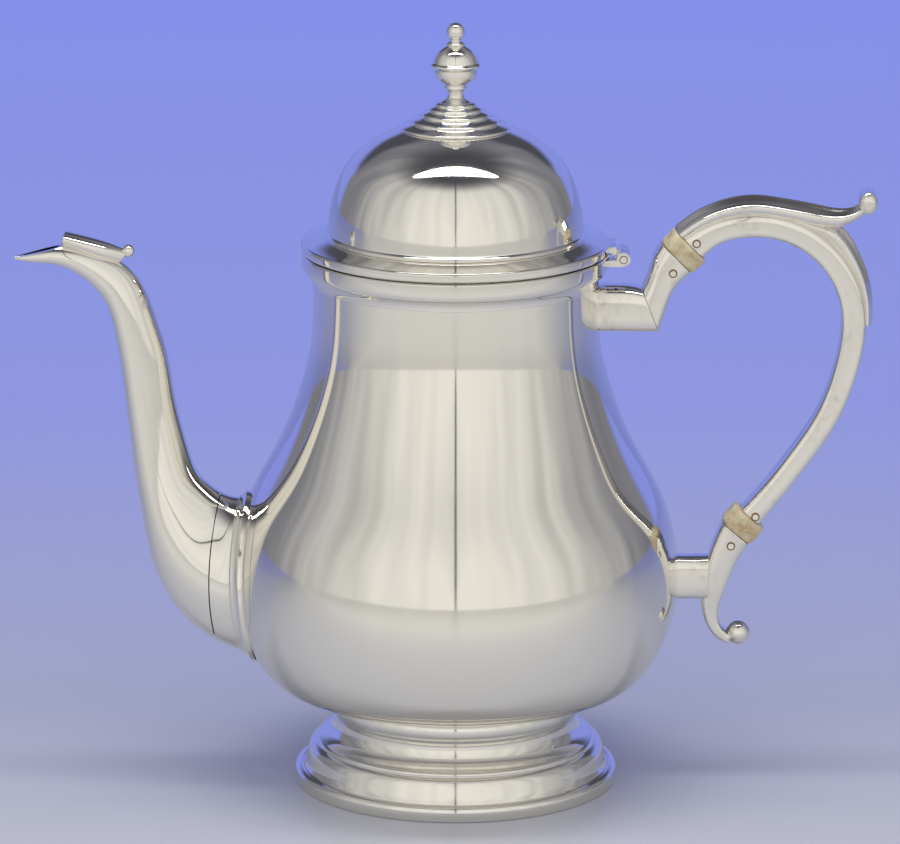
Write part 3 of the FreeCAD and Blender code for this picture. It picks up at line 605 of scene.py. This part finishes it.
def palette():
    """The pot's materials, made on the first call."""
    made = bpy.data.materials
    if made.get("silver_body") is None:
        polished_silver("silver_body", 0.0, 0.0, 0.035, 0.075)
        polished_silver("silver_handle", 0.40, 0.0, 0.07, 0.15)
        polished_silver("silver_hinge", 0.55, 0.05, 0.14, 0.26)
        polished_silver("silver_inside", 0.4, 0.0, 0.22, 0.34)
        polished_silver("silver_crevice", 0.95, 0.5, 0.30, 0.45)
        aged_ivory("aged_ivory")
    return made


# Turned pieces

def body_outer():
    """Outside of the body from the floor to the neck."""
    return smooth(BODY_CURVE, 150)


def body_outline():
    """Body, neck and floor as one wall."""
    outer = body_outer()
    inner = inset(outer, WALL)[1:-1]
    side = [(NECK_R, z) for z in np.linspace(NECK_Z, RIM_Z, 10)]
    back = [(NECK_R - WALL, z) for z in np.linspace(RIM_Z, NECK_Z, 10)]
    floor_in = [(FLOOR_R, FLOOR_Z + WALL), (FLOOR_R / 2, FLOOR_Z + WALL), (0, FLOOR_Z + WALL)]
    inner = [p for p in inner if p[1] > FLOOR_Z + WALL]
    return [(0, FLOOR_Z), (FLOOR_R / 2, FLOOR_Z)] + outer + side[1:] + back + inner[::-1] + floor_in


def rim_outline():
    """Moulded rim round the neck."""
    low = RIM_Z - 8.3
    cove = smooth([(NECK_R + 0.5, low), (NECK_R + 0.8, low + 1.5), (NECK_R + 1.9, low + 3.0)], 12)
    edge = smooth([(NECK_R + 2.4, low + 3.2), (RIM_R - 0.2, low + 4.2), (RIM_R, low + 5.2)], 8)
    top = [(RIM_R, RIM_Z - 0.4), (RIM_R - 0.4, RIM_Z), (NECK_R, RIM_Z), (NECK_R, low)]
    return [(NECK_R, low)] + cove + edge + top


def pedestal_outline():
    """Hollow foot: a roll under the body, a waist, two steps and a plain band."""
    inside = FOOT_BAND_R - FOOT_WALL
    run = [(33.6, FLOOR_Z)]
    run += smooth([(34.6, 25.2), (35.4, 22.8), (35.0, 20.6)], 12)
    run += smooth([(34.2, 20.2), (33.9, 19.2), (33.6, 18.4)], 8)
    run += smooth([(33.2, 18.2), (33.7, 15.6), (35.5, 13.4), (37.5, 12.5)], 16)
    run += smooth([(38.2, 12.4), (38.9, 11.8), (38.9, 11.1)], 8)
    run += smooth([(39.3, 11.0), (40.4, 10.3), (41.1, 9.0), (41.4, 7.6)], 14)
    run += smooth([(41.6, 6.8), (41.9, 5.6), (FOOT_BAND_R, FOOT_BAND_Z)], 10)
    run += [(FOOT_BAND_R, 0.4), (inside, 0.4), (inside, 4.4)]
    run += smooth([(inside - 0.8, 7.6), (38.2, 10.4), (34.6, 12.8)], 12)
    run += [(32.2, 16.0), (32.4, 20.0), (33.4, 22.8), (31.9, 25.2)]
    return run + [(31.9, FLOOR_Z), (33.6, FLOOR_Z)]


def base_ring_outline():
    """Ring that the pot stands on."""
    shoulder = [(FOOT_R, 2.6), (FOOT_R - 0.15, 3.4), (FOOT_R - 0.6, 4.0), (FOOT_R - 1.6, FOOT_BAND_Z)]
    side = smooth(shoulder, 10)
    run = [(FOOT_BAND_R, 0), (FOOT_R - 0.3, 0), (FOOT_R, 0.3)] + side
    return run + [(FOOT_BAND_R, FOOT_BAND_Z), (FOOT_BAND_R, 0)]


def flange_outline():
    """Flat rim of the lid."""
    inner = DOME_BASE_R - 2.0
    top = FLANGE_TOP_Z
    slope = smooth([(LID_R - 0.4, top - 1.5), (LID_R - 3.4, top - 1.0), (DOME_BASE_R, top)], 12)
    edge = [(LID_R - 0.3, LID_Z), (LID_R, LID_Z + 0.4), (LID_R, top - 2.0)]
    return [(inner, LID_Z)] + edge + slope + [(inner, top), (inner, LID_Z)]


def dome_outline():
    """Domed shell of the lid."""
    base_in = DOME_BASE_R - 2.0
    outer = smooth(DOME_CURVE, 110)
    inner = inset(outer, DOME_SHELL)[2:-2]
    low = DOME_TOP_Z - DOME_SHELL
    foot = smooth([(DOME_BASE_R - 0.2, FLANGE_TOP_Z), (DOME_BASE_R, FLANGE_TOP_Z + 0.7), DOME_CURVE[0]], 10)
    top = [(STUD_R, DOME_TOP_Z), (STUD_R, low), (DOME_TOP_R - 0.6, low)]
    start = [(base_in, FLANGE_TOP_Z)]
    return start + foot + outer[1:] + top + inner[::-1] + start


def collet_outline():
    """Stepped collet between the dome and the finial."""
    low = DOME_TOP_Z
    steps = [(15.0, 0.0), (15.2, 0.4), (15.0, 0.8), (12.6, 1.5), (12.2, 1.9), (12.1, 2.4), (11.7, 2.7)]
    steps += [(9.8, 3.2), (9.4, 3.6), (9.3, 4.2), (8.9, 4.5), (7.7, 4.9), (7.4, 5.3), (7.3, 5.8)]
    steps += [(6.9, 6.0), (6.0, 6.3), (5.7, 6.7), (5.6, 7.1), (4.8, 7.5)]
    run = [(STUD_R, low)] + [(r, low + h) for r, h in steps]
    return run + [(STUD_R, COLLET_TOP_Z), (STUD_R, low)]


def knop(points, count):
    """Finial outline points given as radius and height above the collet."""
    return smooth([(r, COLLET_TOP_Z + h) for r, h in points], count)


def finial_outline():
    """Turned finial with a stem, a cup and a bud."""
    run = [(0, COLLET_TOP_Z)]
    run += knop([(4.4, 0), (2.9, 0.8), (2.15, 2.2), (2.5, 3.4)], 12)
    run += knop([(2.5, 3.4), (3.1, 4.0), (2.9, 4.7)], 10)
    run += knop([(2.9, 4.7), (4.7, 6.0), (5.7, 7.6), (5.9, 8.8)], 14)
    run += knop([(5.7, 9.0), (6.4, 9.5), (7.0, 10.4), (6.1, 11.0)], 14)
    run += knop([(6.1, 11.0), (5.8, 12.4), (4.6, 14.2), (2.4, 15.6)], 16)
    run += knop([(2.4, 15.6), (2.6, 16.0), (2.2, 16.5)], 8)
    run += [(1.5, COLLET_TOP_Z + 16.8)]
    return run + knop([(1.5, 17.3), (2.4, 18.5), (2.55, 19.5), (2.25, 20.7), (1.4, 21.6), (0, 22.0)], 24)


# Spout

def outside_body(points):
    """How far points lie outside the pot, along its surface normal."""
    outer = np.array(body_outer())
    lean = np.gradient(outer[:, 0]) / np.gradient(outer[:, 1])
    belly = outer[:, 1] > SIDE_FROM_Z
    height, reach, lean = outer[belly, 1], outer[belly, 0], lean[belly]
    radius = np.hypot(points[..., 0], points[..., 1])
    slope = np.interp(points[..., 2], height, lean)
    return (radius - np.interp(points[..., 2], height, reach)) / np.sqrt(1 + slope ** 2)


def rows_between(grid, start, end, count):
    """Rows of a grid re-spaced between two limits of distance from the pot."""
    away = outside_body(grid)
    made = np.zeros((count, grid.shape[1], 3))
    for j in range(grid.shape[1]):
        away_j = np.maximum.accumulate(away[:, j])
        steps = np.arange(len(away_j), dtype=float)
        low = np.interp(start, away_j, steps)
        high = np.interp(end, away_j, steps) if end is not None else steps[-1]
        where = low + (high - low) * np.linspace(0, 1, count)
        for axis in range(3):
            made[:, j, axis] = np.interp(where, steps, grid[:, j, axis])
    return made


def flared(grid):
    """Spreads the rows of the spout's root next to the pot into a low foot with a fine edge."""
    away = np.maximum(outside_body(grid), 0.0)
    spread = FLARE * np.exp(-away / FLARE_FADE)
    spread += FLARE_EDGE * np.clip((FLARE_EDGE_AT - away) / FLARE_EDGE_FADE, 0.0, 1.0)
    middle = grid.mean(1, keepdims=True)
    out = grid - middle
    out[:, :, 0] *= 0.25
    out /= np.linalg.norm(out, axis=2, keepdims=True)
    return grid + out * spread[:, :, None]


def tube_mesh(name, outer, inner, material):
    """Closed tube wall between an outer and an inner grid."""
    loop = np.concatenate([outer, inner[::-1], outer[:1]], 0)
    return mesh_from_grids(name, [loop], material, capped=False)


def cut_away(obj, corners):
    """Removes a straight-sided block across the plane Y = 0 from a piece."""
    sides = (-MOUTH_BLOCK_HALF, MOUTH_BLOCK_HALF)
    verts = [(x * MM, side * MM, z * MM) for side in sides for x, z in corners]
    n = len(corners)
    faces = [tuple(range(n)), tuple(range(2 * n - 1, n - 1, -1))]
    faces += [(i, (i + 1) % n, n + (i + 1) % n, n + i) for i in range(n)]
    mesh = bpy.data.meshes.new("cutter")
    mesh.from_pydata(verts, [], faces)
    block = new_object("cutter", mesh)
    outward(block)
    cut = obj.modifiers.new("cut", "BOOLEAN")
    cut.object = block
    cut.operation = "DIFFERENCE"
    cut.solver = "EXACT"
    bpy.context.view_layer.update()
    made = bpy.data.meshes.new_from_object(obj.evaluated_get(bpy.context.evaluated_depsgraph_get()))
    obj.modifiers.clear()
    obj.data = made
    bpy.data.objects.remove(block)
    shade(obj)


# Handle

def arc_spot(centre, radius, angle):
    """Point (x, z) at an angle in degrees on a circle."""
    a = math.radians(angle)
    return centre[0] + radius * math.cos(a), centre[1] + radius * math.sin(a)


def insulator_face(values, side):
    """Centre of one face of an insulator."""
    x, z, tilt, thick = values[:4]
    a = math.radians(tilt)
    return x + side * math.cos(a) * thick / 2, z + side * math.sin(a) * thick / 2


def grip_stations():
    """The grip: a tight arc over the top, a wide one down the back, then in to the lower insulator."""
    stations = []
    start, turn, end = GRIP_TURNS
    for i in range(10):
        a = start + (turn - start) * i / 9
        stations.append((*arc_spot(GRIP_ARC_C, GRIP_ARC_R, a), GRIP_HALF, GRIP_WIDTH, a))
    for i in range(1, 5):
        a = turn + (end - turn) * i / 4
        half = GRIP_HALF + (GRIP_HALF_LOW - GRIP_HALF) * i / 4
        stations.append((*arc_spot(GRIP_BACK_C, GRIP_BACK_R, a), half, GRIP_WIDTH, a))
    low = insulator_face(INSULATOR_LOW, 1)
    last = stations[-1]
    middle = ((last[0] + low[0]) / 2 + 0.2, (last[1] + low[1]) / 2 - 0.2)
    stations.append((*middle, GRIP_HALF_LOW, GRIP_WIDTH, end - 1.0))
    stations.append((*low, GRIP_HALF_LOW + 0.2, GRIP_WIDTH, INSULATOR_LOW[2] - 90.0))
    high = insulator_face(INSULATOR_UP, 1)
    stations[0] = (high[0] + 0.5, high[1] - 0.5, GRIP_HALF + 0.6, GRIP_WIDTH + 0.3, INSULATOR_UP[2] + 90.0)
    return stations


def strip_station(low, high, width):
    """Station of a leaf between its under side and its upper side."""
    tilt = math.degrees(math.atan2(high[1] - low[1], high[0] - low[0]))
    half = math.dist(low, high) / 2
    return ((low[0] + high[0]) / 2, (low[1] + high[1]) / 2, half, width, tilt)


def thumb_stations():
    """Thumb leaf: it lies on the grip's arc and then runs free to its rolled end."""
    stations = []
    for angle, rise in THUMB_ARC:
        low = arc_spot(GRIP_ARC_C, LEAF_SUNK_R, angle)
        stations.append(strip_station(low, arc_spot(GRIP_ARC_C, LEAF_TOP_R + rise, angle), LEAF_HALF_WIDTH))
    return stations + [strip_station(*end) for end in THUMB_END]


def back_stations():
    """Second leaf, on the back of the grip under the thumb leaf's end."""
    stations = []
    for angle, top, width in BACK_LEAF:
        low = arc_spot(GRIP_ARC_C, LEAF_SUNK_R, angle)
        stations.append(strip_station(low, arc_spot(GRIP_ARC_C, top, angle), width))
    return stations


def insulator_rows(values):
    """A slightly barrelled disc with rounded edges."""
    x, z, tilt, thick, half, width = values
    a = math.radians(tilt)
    rows = []
    for t in np.linspace(-1, 1, 25):
        edge = max(0.0, abs(t) - INSULATOR_FLAT) / (1 - INSULATOR_FLAT)
        pull = 1.0 - math.sqrt(max(0.0, 1 - edge ** 2))
        swell = INSULATOR_SWELL * (1 - t * t)
        step = t * thick / 2
        change = swell - INSULATOR_ROUND * pull
        size = (half + change, width + change)
        rows.append((x + step * math.cos(a), z + step * math.sin(a), *size, tilt + 90.0))
    return np.array(rows)


def curl_mesh(name, at, radius, half, material):
    """Rolled end of the thumb leaf: a short rounded roll across the handle."""
    edge = [(0.0, half + 0.5), (0.9, half + 0.45), (radius - 0.7, half), (radius, half - 0.9)]
    run = smooth([(r, -y) for r, y in edge], 12) + smooth(edge[::-1], 12)
    obj = turned(name, run, material, 64)
    for vert in obj.data.vertices:
        x, y, z = vert.co
        vert.co = (x + at[0] * MM, z, (at[1] + CURL_LIFT) * MM - y * CURL_STRETCH)
    return obj


# Stage

def make_floor():
    """Studio paper, pale in front and blue behind: a soft even ground that keeps the shadow. The blue behind
    is partly painted light: a blue glow, stronger further back, that only the camera sees.
    """
    mesh = bpy.data.meshes.new("floor")
    far = FLOOR_HALF
    mesh.from_pydata([(-far, -far, 0), (far, -far, 0), (far, far, 0), (-far, far, 0)], [], [(0, 1, 2, 3)])
    floor = new_object("floor", mesh)
    material, tree, surface, where = blank("studio_paper")
    depth = add(tree, "ShaderNodeSeparateXYZ", {0: where}).outputs[1]
    run = add(tree, "ShaderNodeMapRange", {0: depth, 1: FLOOR_PALE_Y, 2: FLOOR_BLUE_Y}).outputs[0]
    tones = [(0.0, "F0EFEC"), (1.0, "9CAAFF"), (0.17, "CCCED6"), (0.25, "B6BACE"), (0.49, "A2ABEE")]
    colour = add(tree, "ShaderNodeValToRGB", {0: run}, tones).outputs[0]
    tree.links.new(colour, surface.inputs["Base Color"])
    # Painted light: for camera rays only, the paper glows blue, more strongly further back.
    seen = add(tree, "ShaderNodeLightPath").outputs["Is Camera Ray"]
    glow = add(tree, "ShaderNodeMath", {0: seen, 1: run}, operation="MULTIPLY").outputs[0]
    faint = add(tree, "ShaderNodeMath", {0: glow, 1: FLOOR_GLOW}, operation="MULTIPLY").outputs[0]
    tree.links.new(faint, surface.inputs["Emission Strength"])
    surface.inputs["Emission Color"].default_value = srgb("5A66FF")
    surface.inputs["Roughness"].default_value = 0.3
    surface.inputs["Specular IOR Level"].default_value = 0.25
    floor.data.materials.append(material)


def make_lamp(settings):
    """Long soft lamp over the pot."""
    data = bpy.data.lights.new("top_lamp", "AREA")
    data.shape = "ELLIPSE"
    data.size, data.size_y = settings.lamp_width
    data.energy = settings.lamp_power
    lamp = bpy.data.objects.new("top_lamp", data)
    lamp.location = LAMP_AT
    lamp.rotation_euler = (math.radians(LAMP_TILT), 0, 0)
    bpy.context.scene.collection.objects.link(lamp)


def make_world(scene):
    """White cloth tent in front, grey sides, blue paper behind, a dim ceiling in the metal."""
    world = bpy.data.worlds.new("tent")
    scene.world = world
    world.use_nodes = True
    tree = world.node_tree
    where = add(tree, "ShaderNodeTexCoord").outputs["Generated"]
    x, y, z = add(tree, "ShaderNodeSeparateXYZ", {0: where}).outputs
    ahead = add(tree, "ShaderNodeMath", {0: y, 1: -1.0}, operation="MULTIPLY").outputs[0]
    turn = add(tree, "ShaderNodeMath", {0: x, 1: ahead}, operation="ARCTAN2").outputs[0]
    wide = add(tree, "ShaderNodeMath", {0: turn, 1: 5.0}, operation="MULTIPLY").outputs[0]
    tall = add(tree, "ShaderNodeMath", {0: z, 1: 0.7}, operation="MULTIPLY").outputs[0]
    spot = add(tree, "ShaderNodeCombineXYZ", {0: wide, 1: tall}).outputs[0]
    noise = {"Vector": spot, "Scale": 1.0, "Detail": 1.5}
    folds = add(tree, "ShaderNodeTexNoise", noise, noise_dimensions="2D").outputs[0]
    drift = add(tree, "ShaderNodeMapRange", {0: folds, 1: 0.30, 2: 0.70, 3: -0.16, 4: 0.16}).outputs[0]
    reach = add(tree, "ShaderNodeMath", {0: y, 1: drift}, operation="ADD").outputs[0]
    run = add(tree, "ShaderNodeMapRange", {0: reach, 1: -1.0, 2: 1.0}).outputs[0]
    tones = [(0.0, "F4F2EC"), (1.0, "6C6E78"), (0.25, "DAD9D5"), (0.5, "AEAEB0"), (0.7, "84848C")]
    cloth = add(tree, "ShaderNodeValToRGB", {0: run}, tones).outputs[0]
    front = add(tree, "ShaderNodeMath", {0: y, 1: 0.0}, operation="LESS_THAN").outputs[0]
    across = add(tree, "ShaderNodeMath", {0: x}, operation="ABSOLUTE").outputs[0]
    wander = add(tree, "ShaderNodeMath", {0: drift, 1: 0.03}, operation="MULTIPLY").outputs[0]
    gap = add(tree, "ShaderNodeMath", {0: wander, 1: 0.006}, operation="ADD").outputs[0]
    narrow = add(tree, "ShaderNodeMath", {0: across, 1: gap}, operation="LESS_THAN").outputs[0]
    slit = add(tree, "ShaderNodeMath", {0: narrow, 1: front}, operation="MULTIPLY").outputs[0]
    parted = add(tree, "ShaderNodeMix", {0: slit, 6: cloth, 7: srgb("56544F")}, data_type="RGBA").outputs[2]
    # Soft edges: where the paper behind begins, where it ends, and where the ceiling begins.
    edges = []
    for axis, begin, end in ((y, 0.66, 0.76), (z, 0.26, 0.42), (z, 0.72, 0.97)):
        step = add(tree, "ShaderNodeMapRange", {0: axis, 1: begin, 2: end}, interpolation_type="SMOOTHSTEP")
        edges.append(step.outputs[0])
    behind, paper_top, above = edges
    blue, shade_blue = srgb("8A96EC"), srgb("4C4E58")
    paper = add(tree, "ShaderNodeMix", {0: paper_top, 6: blue, 7: shade_blue}, data_type="RGBA").outputs[2]
    walls = add(tree, "ShaderNodeMix", {0: behind, 6: parted, 7: paper}, data_type="RGBA").outputs[2]
    shiny = add(tree, "ShaderNodeLightPath").outputs["Is Glossy Ray"]
    white, dim = srgb("FFFFFF"), srgb("4A4A52")
    roof = add(tree, "ShaderNodeMix", {0: shiny, 6: white, 7: dim}, data_type="RGBA").outputs[2]
    full = add(tree, "ShaderNodeMix", {0: above, 6: walls, 7: roof}, data_type="RGBA").outputs[2]
    tree.links.new(full, tree.nodes["Background"].inputs["Color"])


# Settings and operators

class PotSettings(bpy.types.PropertyGroup):
    """Sizes and colours a user would change"""
    segments: bpy.props.IntProperty(
        name="Turned segments", description="Flats round each turned piece", default=192, min=32, max=256)
    around: bpy.props.IntProperty(
        name="Section points", description="Points round the spout and handle", default=72, min=16, max=128)
    silver: bpy.props.FloatVectorProperty(
        name="Silver", description="Colour of clean silver", subtype="COLOR", size=4,
        default=srgb("F0EDE6"))
    tarnish: bpy.props.FloatVectorProperty(
        name="Tarnish", description="Colour of tarnished spots", subtype="COLOR", size=4,
        default=srgb("8A6C4A"))
    ivory: bpy.props.FloatVectorProperty(
        name="Ivory", description="Colour of the insulators", subtype="COLOR", size=4,
        default=srgb("DCCFAE"))
    lamp_width: bpy.props.FloatVectorProperty(
        name="Lamp size", description="Width and depth of the top lamp", subtype="XYZ_LENGTH", size=2,
        default=(1.05, 0.18))
    lamp_power: bpy.props.FloatProperty(
        name="Lamp power", description="Power of the top lamp", unit="POWER", default=3.5, min=0.0)


class POT_OT_body(bpy.types.Operator):
    """Build the pot body, neck rim and foot"""
    bl_idname = "pot.body"
    bl_label = "Body and foot"

    def execute(self, context):
        made = palette()
        count = context.scene.pot_settings.segments
        finish = made["silver_body"]
        wall = turned("pot_wall", body_outline(), finish, count)
        keep(wall, POT, "silver", "pot_base", "pot_body", "pot_neck")
        keep(turned("pot_rim", rim_outline(), finish, count), POT, "silver", "neck_rim")
        keep(turned("pot_pedestal", pedestal_outline(), finish, count), POT, "silver", "foot_pedestal")
        keep(turned("pot_base_ring", base_ring_outline(), finish, count), POT, "silver", "foot_base_ring")
        return {"FINISHED"}


class POT_OT_lid(bpy.types.Operator):
    """Build the lid, collet and finial"""
    bl_idname = "pot.lid"
    bl_label = "Lid"

    def execute(self, context):
        made = palette()
        count = context.scene.pot_settings.segments
        pieces = (("flange", flange_outline(), "lid_flange"), ("dome", dome_outline(), "lid_dome"),
                  ("collet", collet_outline(), "finial_collet"), ("finial", finial_outline(), "finial"))
        for name, outline, node in pieces:
            keep(turned("top_" + name, outline, made["silver_body"], count), LID, "silver", node)
        return {"FINISHED"}


class POT_OT_spout(bpy.types.Operator):
    """Build the spout, its base collar, hood and bead"""
    bl_idname = "pot.spout"
    bl_label = "Spout"

    def execute(self, context):
        made = palette()
        finish = made["silver_body"]
        around = context.scene.pot_settings.around
        rows = station_rows(SPOUT_STATIONS, SPOUT_ROWS)
        outer = grid_of(rows, SPOUT_SQUARE, around, 0.0, SPOUT_CROWN)
        inner = grid_of(rows, SPOUT_SQUARE, around, SPOUT_WALL, SPOUT_CROWN)
        start = COLLAR_REACH + COLLAR_SEAM
        skins = [rows_between(grid, start, None, 150) for grid in (outer, inner)]
        spout = tube_mesh("spout_shell", *skins, finish)
        cut_away(spout, MOUTH_BLOCK)
        keep(spout, POT, "silver", "spout_near_half", "spout_far_half")
        skins = [rows_between(grid, -COLLAR_SUNK, COLLAR_REACH, 60) for grid in (outer, inner)]
        collar = tube_mesh("spout_collar", flared(skins[0]), skins[1], finish)
        keep(collar, POT, "silver", "spout_base_collar")
        hood = lofted("spout_leaf", HOOD_STATIONS, finish, HOOD_SQUARE, 40, 48, 0.4)
        keep(hood, POT, "silver", "spout_hood")
        keep(ball("spout_ball", BEAD_AT, BEAD_R, finish), POT, "silver", "spout_hood_bead")
        return {"FINISHED"}


class POT_OT_handle(bpy.types.Operator):
    """Build the handle, its leaves, sockets and insulators"""
    bl_idname = "pot.handle"
    bl_label = "Handle"

    def execute(self, context):
        made = palette()
        finish = made["silver_handle"]
        around = context.scene.pot_settings.around
        stub = grid_of(rounded_ends(station_rows(UPPER_STUB, 30), 0.2), SOCKET_SQUARE, around)
        riser = grid_of(rounded_ends(station_rows(UPPER_RISER, 40), 0.3), SOCKET_SQUARE, around)
        ridge_rows = rounded_ends(station_rows(RISER_RIDGE, 40), 0.3)
        ridge = grid_of(ridge_rows, GRIP_SQUARE, around, 0.0, RIDGE_CROWN)
        socket = mesh_from_grids("handle_upper_socket", [stub, riser, ridge], finish)
        keep(socket, POT, "silver", "upper_socket")
        grip = lofted("handle_loop", grip_stations(), finish, GRIP_SQUARE, 220, around)
        keep(grip, POT, "silver", "handle_grip")
        thumb = lofted("handle_thumb", thumb_stations(), finish, LEAF_SQUARE, 110, around, 0.5,
                       LEAF_CROWN, LEAF_BROW)
        keep(thumb, POT, "silver", "thumb_leaf")
        back = lofted("handle_back", back_stations(), finish, GRIP_SQUARE, 70, around, 0.5,
                      LEAF_CROWN, BACK_BROW)
        keep(back, POT, "silver", "back_leaf")
        curl = curl_mesh("handle_curl", CURL_AT, CURL_R, CURL_HALF, finish)
        keep(curl, POT, "silver", "thumb_leaf_curl")
        lower = lofted("handle_lower_socket", LOWER_SOCKET, finish, GRIP_SQUARE, 90, around)
        keep(lower, POT, "silver", "lower_socket")
        keep(ball("handle_bud", BUD_AT, BUD_R, finish), POT, "silver", "lower_scroll_bud")
        low_stub = lofted("handle_lower_stub", LOWER_STUB, finish, GRIP_SQUARE, 24, around, 0.25)
        keep(low_stub, POT, "silver", "lower_stub")
        pins = ["upper_grip_rivet", "upper_socket_rivet", "lower_grip_rivet", "lower_socket_rivet"]
        keep(rivets("handle_rivets", RIVET_SPOTS, RIVET_R, finish), POT, "silver", *pins)
        rims = [(x, z, half - RIVET_RIM_SUNK) for x, z, half in RIVET_SPOTS]
        dark = rivets("handle_rivet_rims", rims, RIVET_RIM_R, made["silver_crevice"])
        keep(dark, POT, "silver", *pins)
        insulators = (("up", INSULATOR_UP, "upper_insulator"), ("low", INSULATOR_LOW, "lower_insulator"))
        for name, values, node in insulators:
            grid = grid_of(insulator_rows(values), INSULATOR_SQUARE, around)
            obj = mesh_from_grids("handle_insulator_" + name, [grid], made["aged_ivory"])
            keep(obj, POT, "insulator", node)
        return {"FINISHED"}


class POT_OT_fittings(bpy.types.Operator):
    """Build the hinge pin and finish the small solids that stay: hinge, bezel, stud, washer and nut"""
    bl_idname = "pot.fittings"
    bl_label = "Fittings"

    def execute(self, context):
        made = palette()
        pin = rivets("hinge_cross_pin", [HINGE_PIN], PIN_R, made["silver_handle"])
        keep(pin, POT, "silver", "hinge_pin")
        spot = (*HINGE_PIN[:2], HINGE_PIN[2] - PIN_RIM_SUNK)
        rim = rivets("hinge_pin_rim", [spot], PIN_RIM_R, made["silver_crevice"])
        keep(rim, POT, "silver", "hinge_pin")
        finish = {"hinge": "silver_hinge", "finial": "silver_inside", "lid": "silver_inside"}
        for name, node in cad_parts.items():
            if node.hide_render:
                continue
            node.data.materials.clear()
            node.data.materials.append(made[finish.get(name.split("_")[0], "silver_handle")])
        return {"FINISHED"}


class POT_OT_stage(bpy.types.Operator):
    """Set the camera, floor, light and surroundings"""
    bl_idname = "pot.stage"
    bl_label = "Stage"

    def execute(self, context):
        scene = context.scene
        scene.view_settings.view_transform = "Standard"
        camera = bpy.data.objects.new("camera", bpy.data.cameras.new("camera"))
        scene.collection.objects.link(camera)
        camera.location = CAMERA_AT
        camera.rotation_euler = (math.radians(CAMERA_PITCH), 0, 0)
        camera.data.sensor_width = 36.0
        camera.data.lens = CAMERA_LENS
        camera.data.clip_end = 50.0
        scene.camera = camera
        make_floor()
        make_lamp(scene.pot_settings)
        make_world(scene)
        return {"FINISHED"}


class POT_PT_panel(bpy.types.Panel):
    """Buttons that build the pot"""
    bl_idname = "POT_PT_panel"
    bl_label = "Coffee Pot"
    bl_space_type = "VIEW_3D"
    bl_region_type = "UI"
    bl_category = "Coffee Pot"

    def draw(self, context):
        settings = context.scene.pot_settings
        for name in ("segments", "around", "silver", "tarnish", "ivory", "lamp_width", "lamp_power"):
            self.layout.prop(settings, name)
        for name in ("body", "lid", "spout", "handle", "fittings", "stage"):
            self.layout.operator("pot." + name)


CLASSES = (
    PotSettings, POT_OT_body, POT_OT_lid, POT_OT_spout, POT_OT_handle, POT_OT_fittings, POT_OT_stage,
    POT_PT_panel,
)


def register():
    """Adds the settings, operators and panel."""
    for cls in CLASSES:
        bpy.utils.register_class(cls)
    bpy.types.Scene.pot_settings = bpy.props.PointerProperty(type=PotSettings)


def unregister():
    """Takes them away again."""
    del bpy.types.Scene.pot_settings
    for cls in reversed(CLASSES):
        bpy.utils.unregister_class(cls)


def main():
    """Builds the stage and every piece."""
    register()
    bpy.ops.pot.stage()
    bpy.ops.pot.body()
    bpy.ops.pot.lid()
    bpy.ops.pot.spout()
    bpy.ops.pot.handle()
    bpy.ops.pot.fittings()
    bpy.context.view_layer.update()


if __name__ == "__main__":
    main()
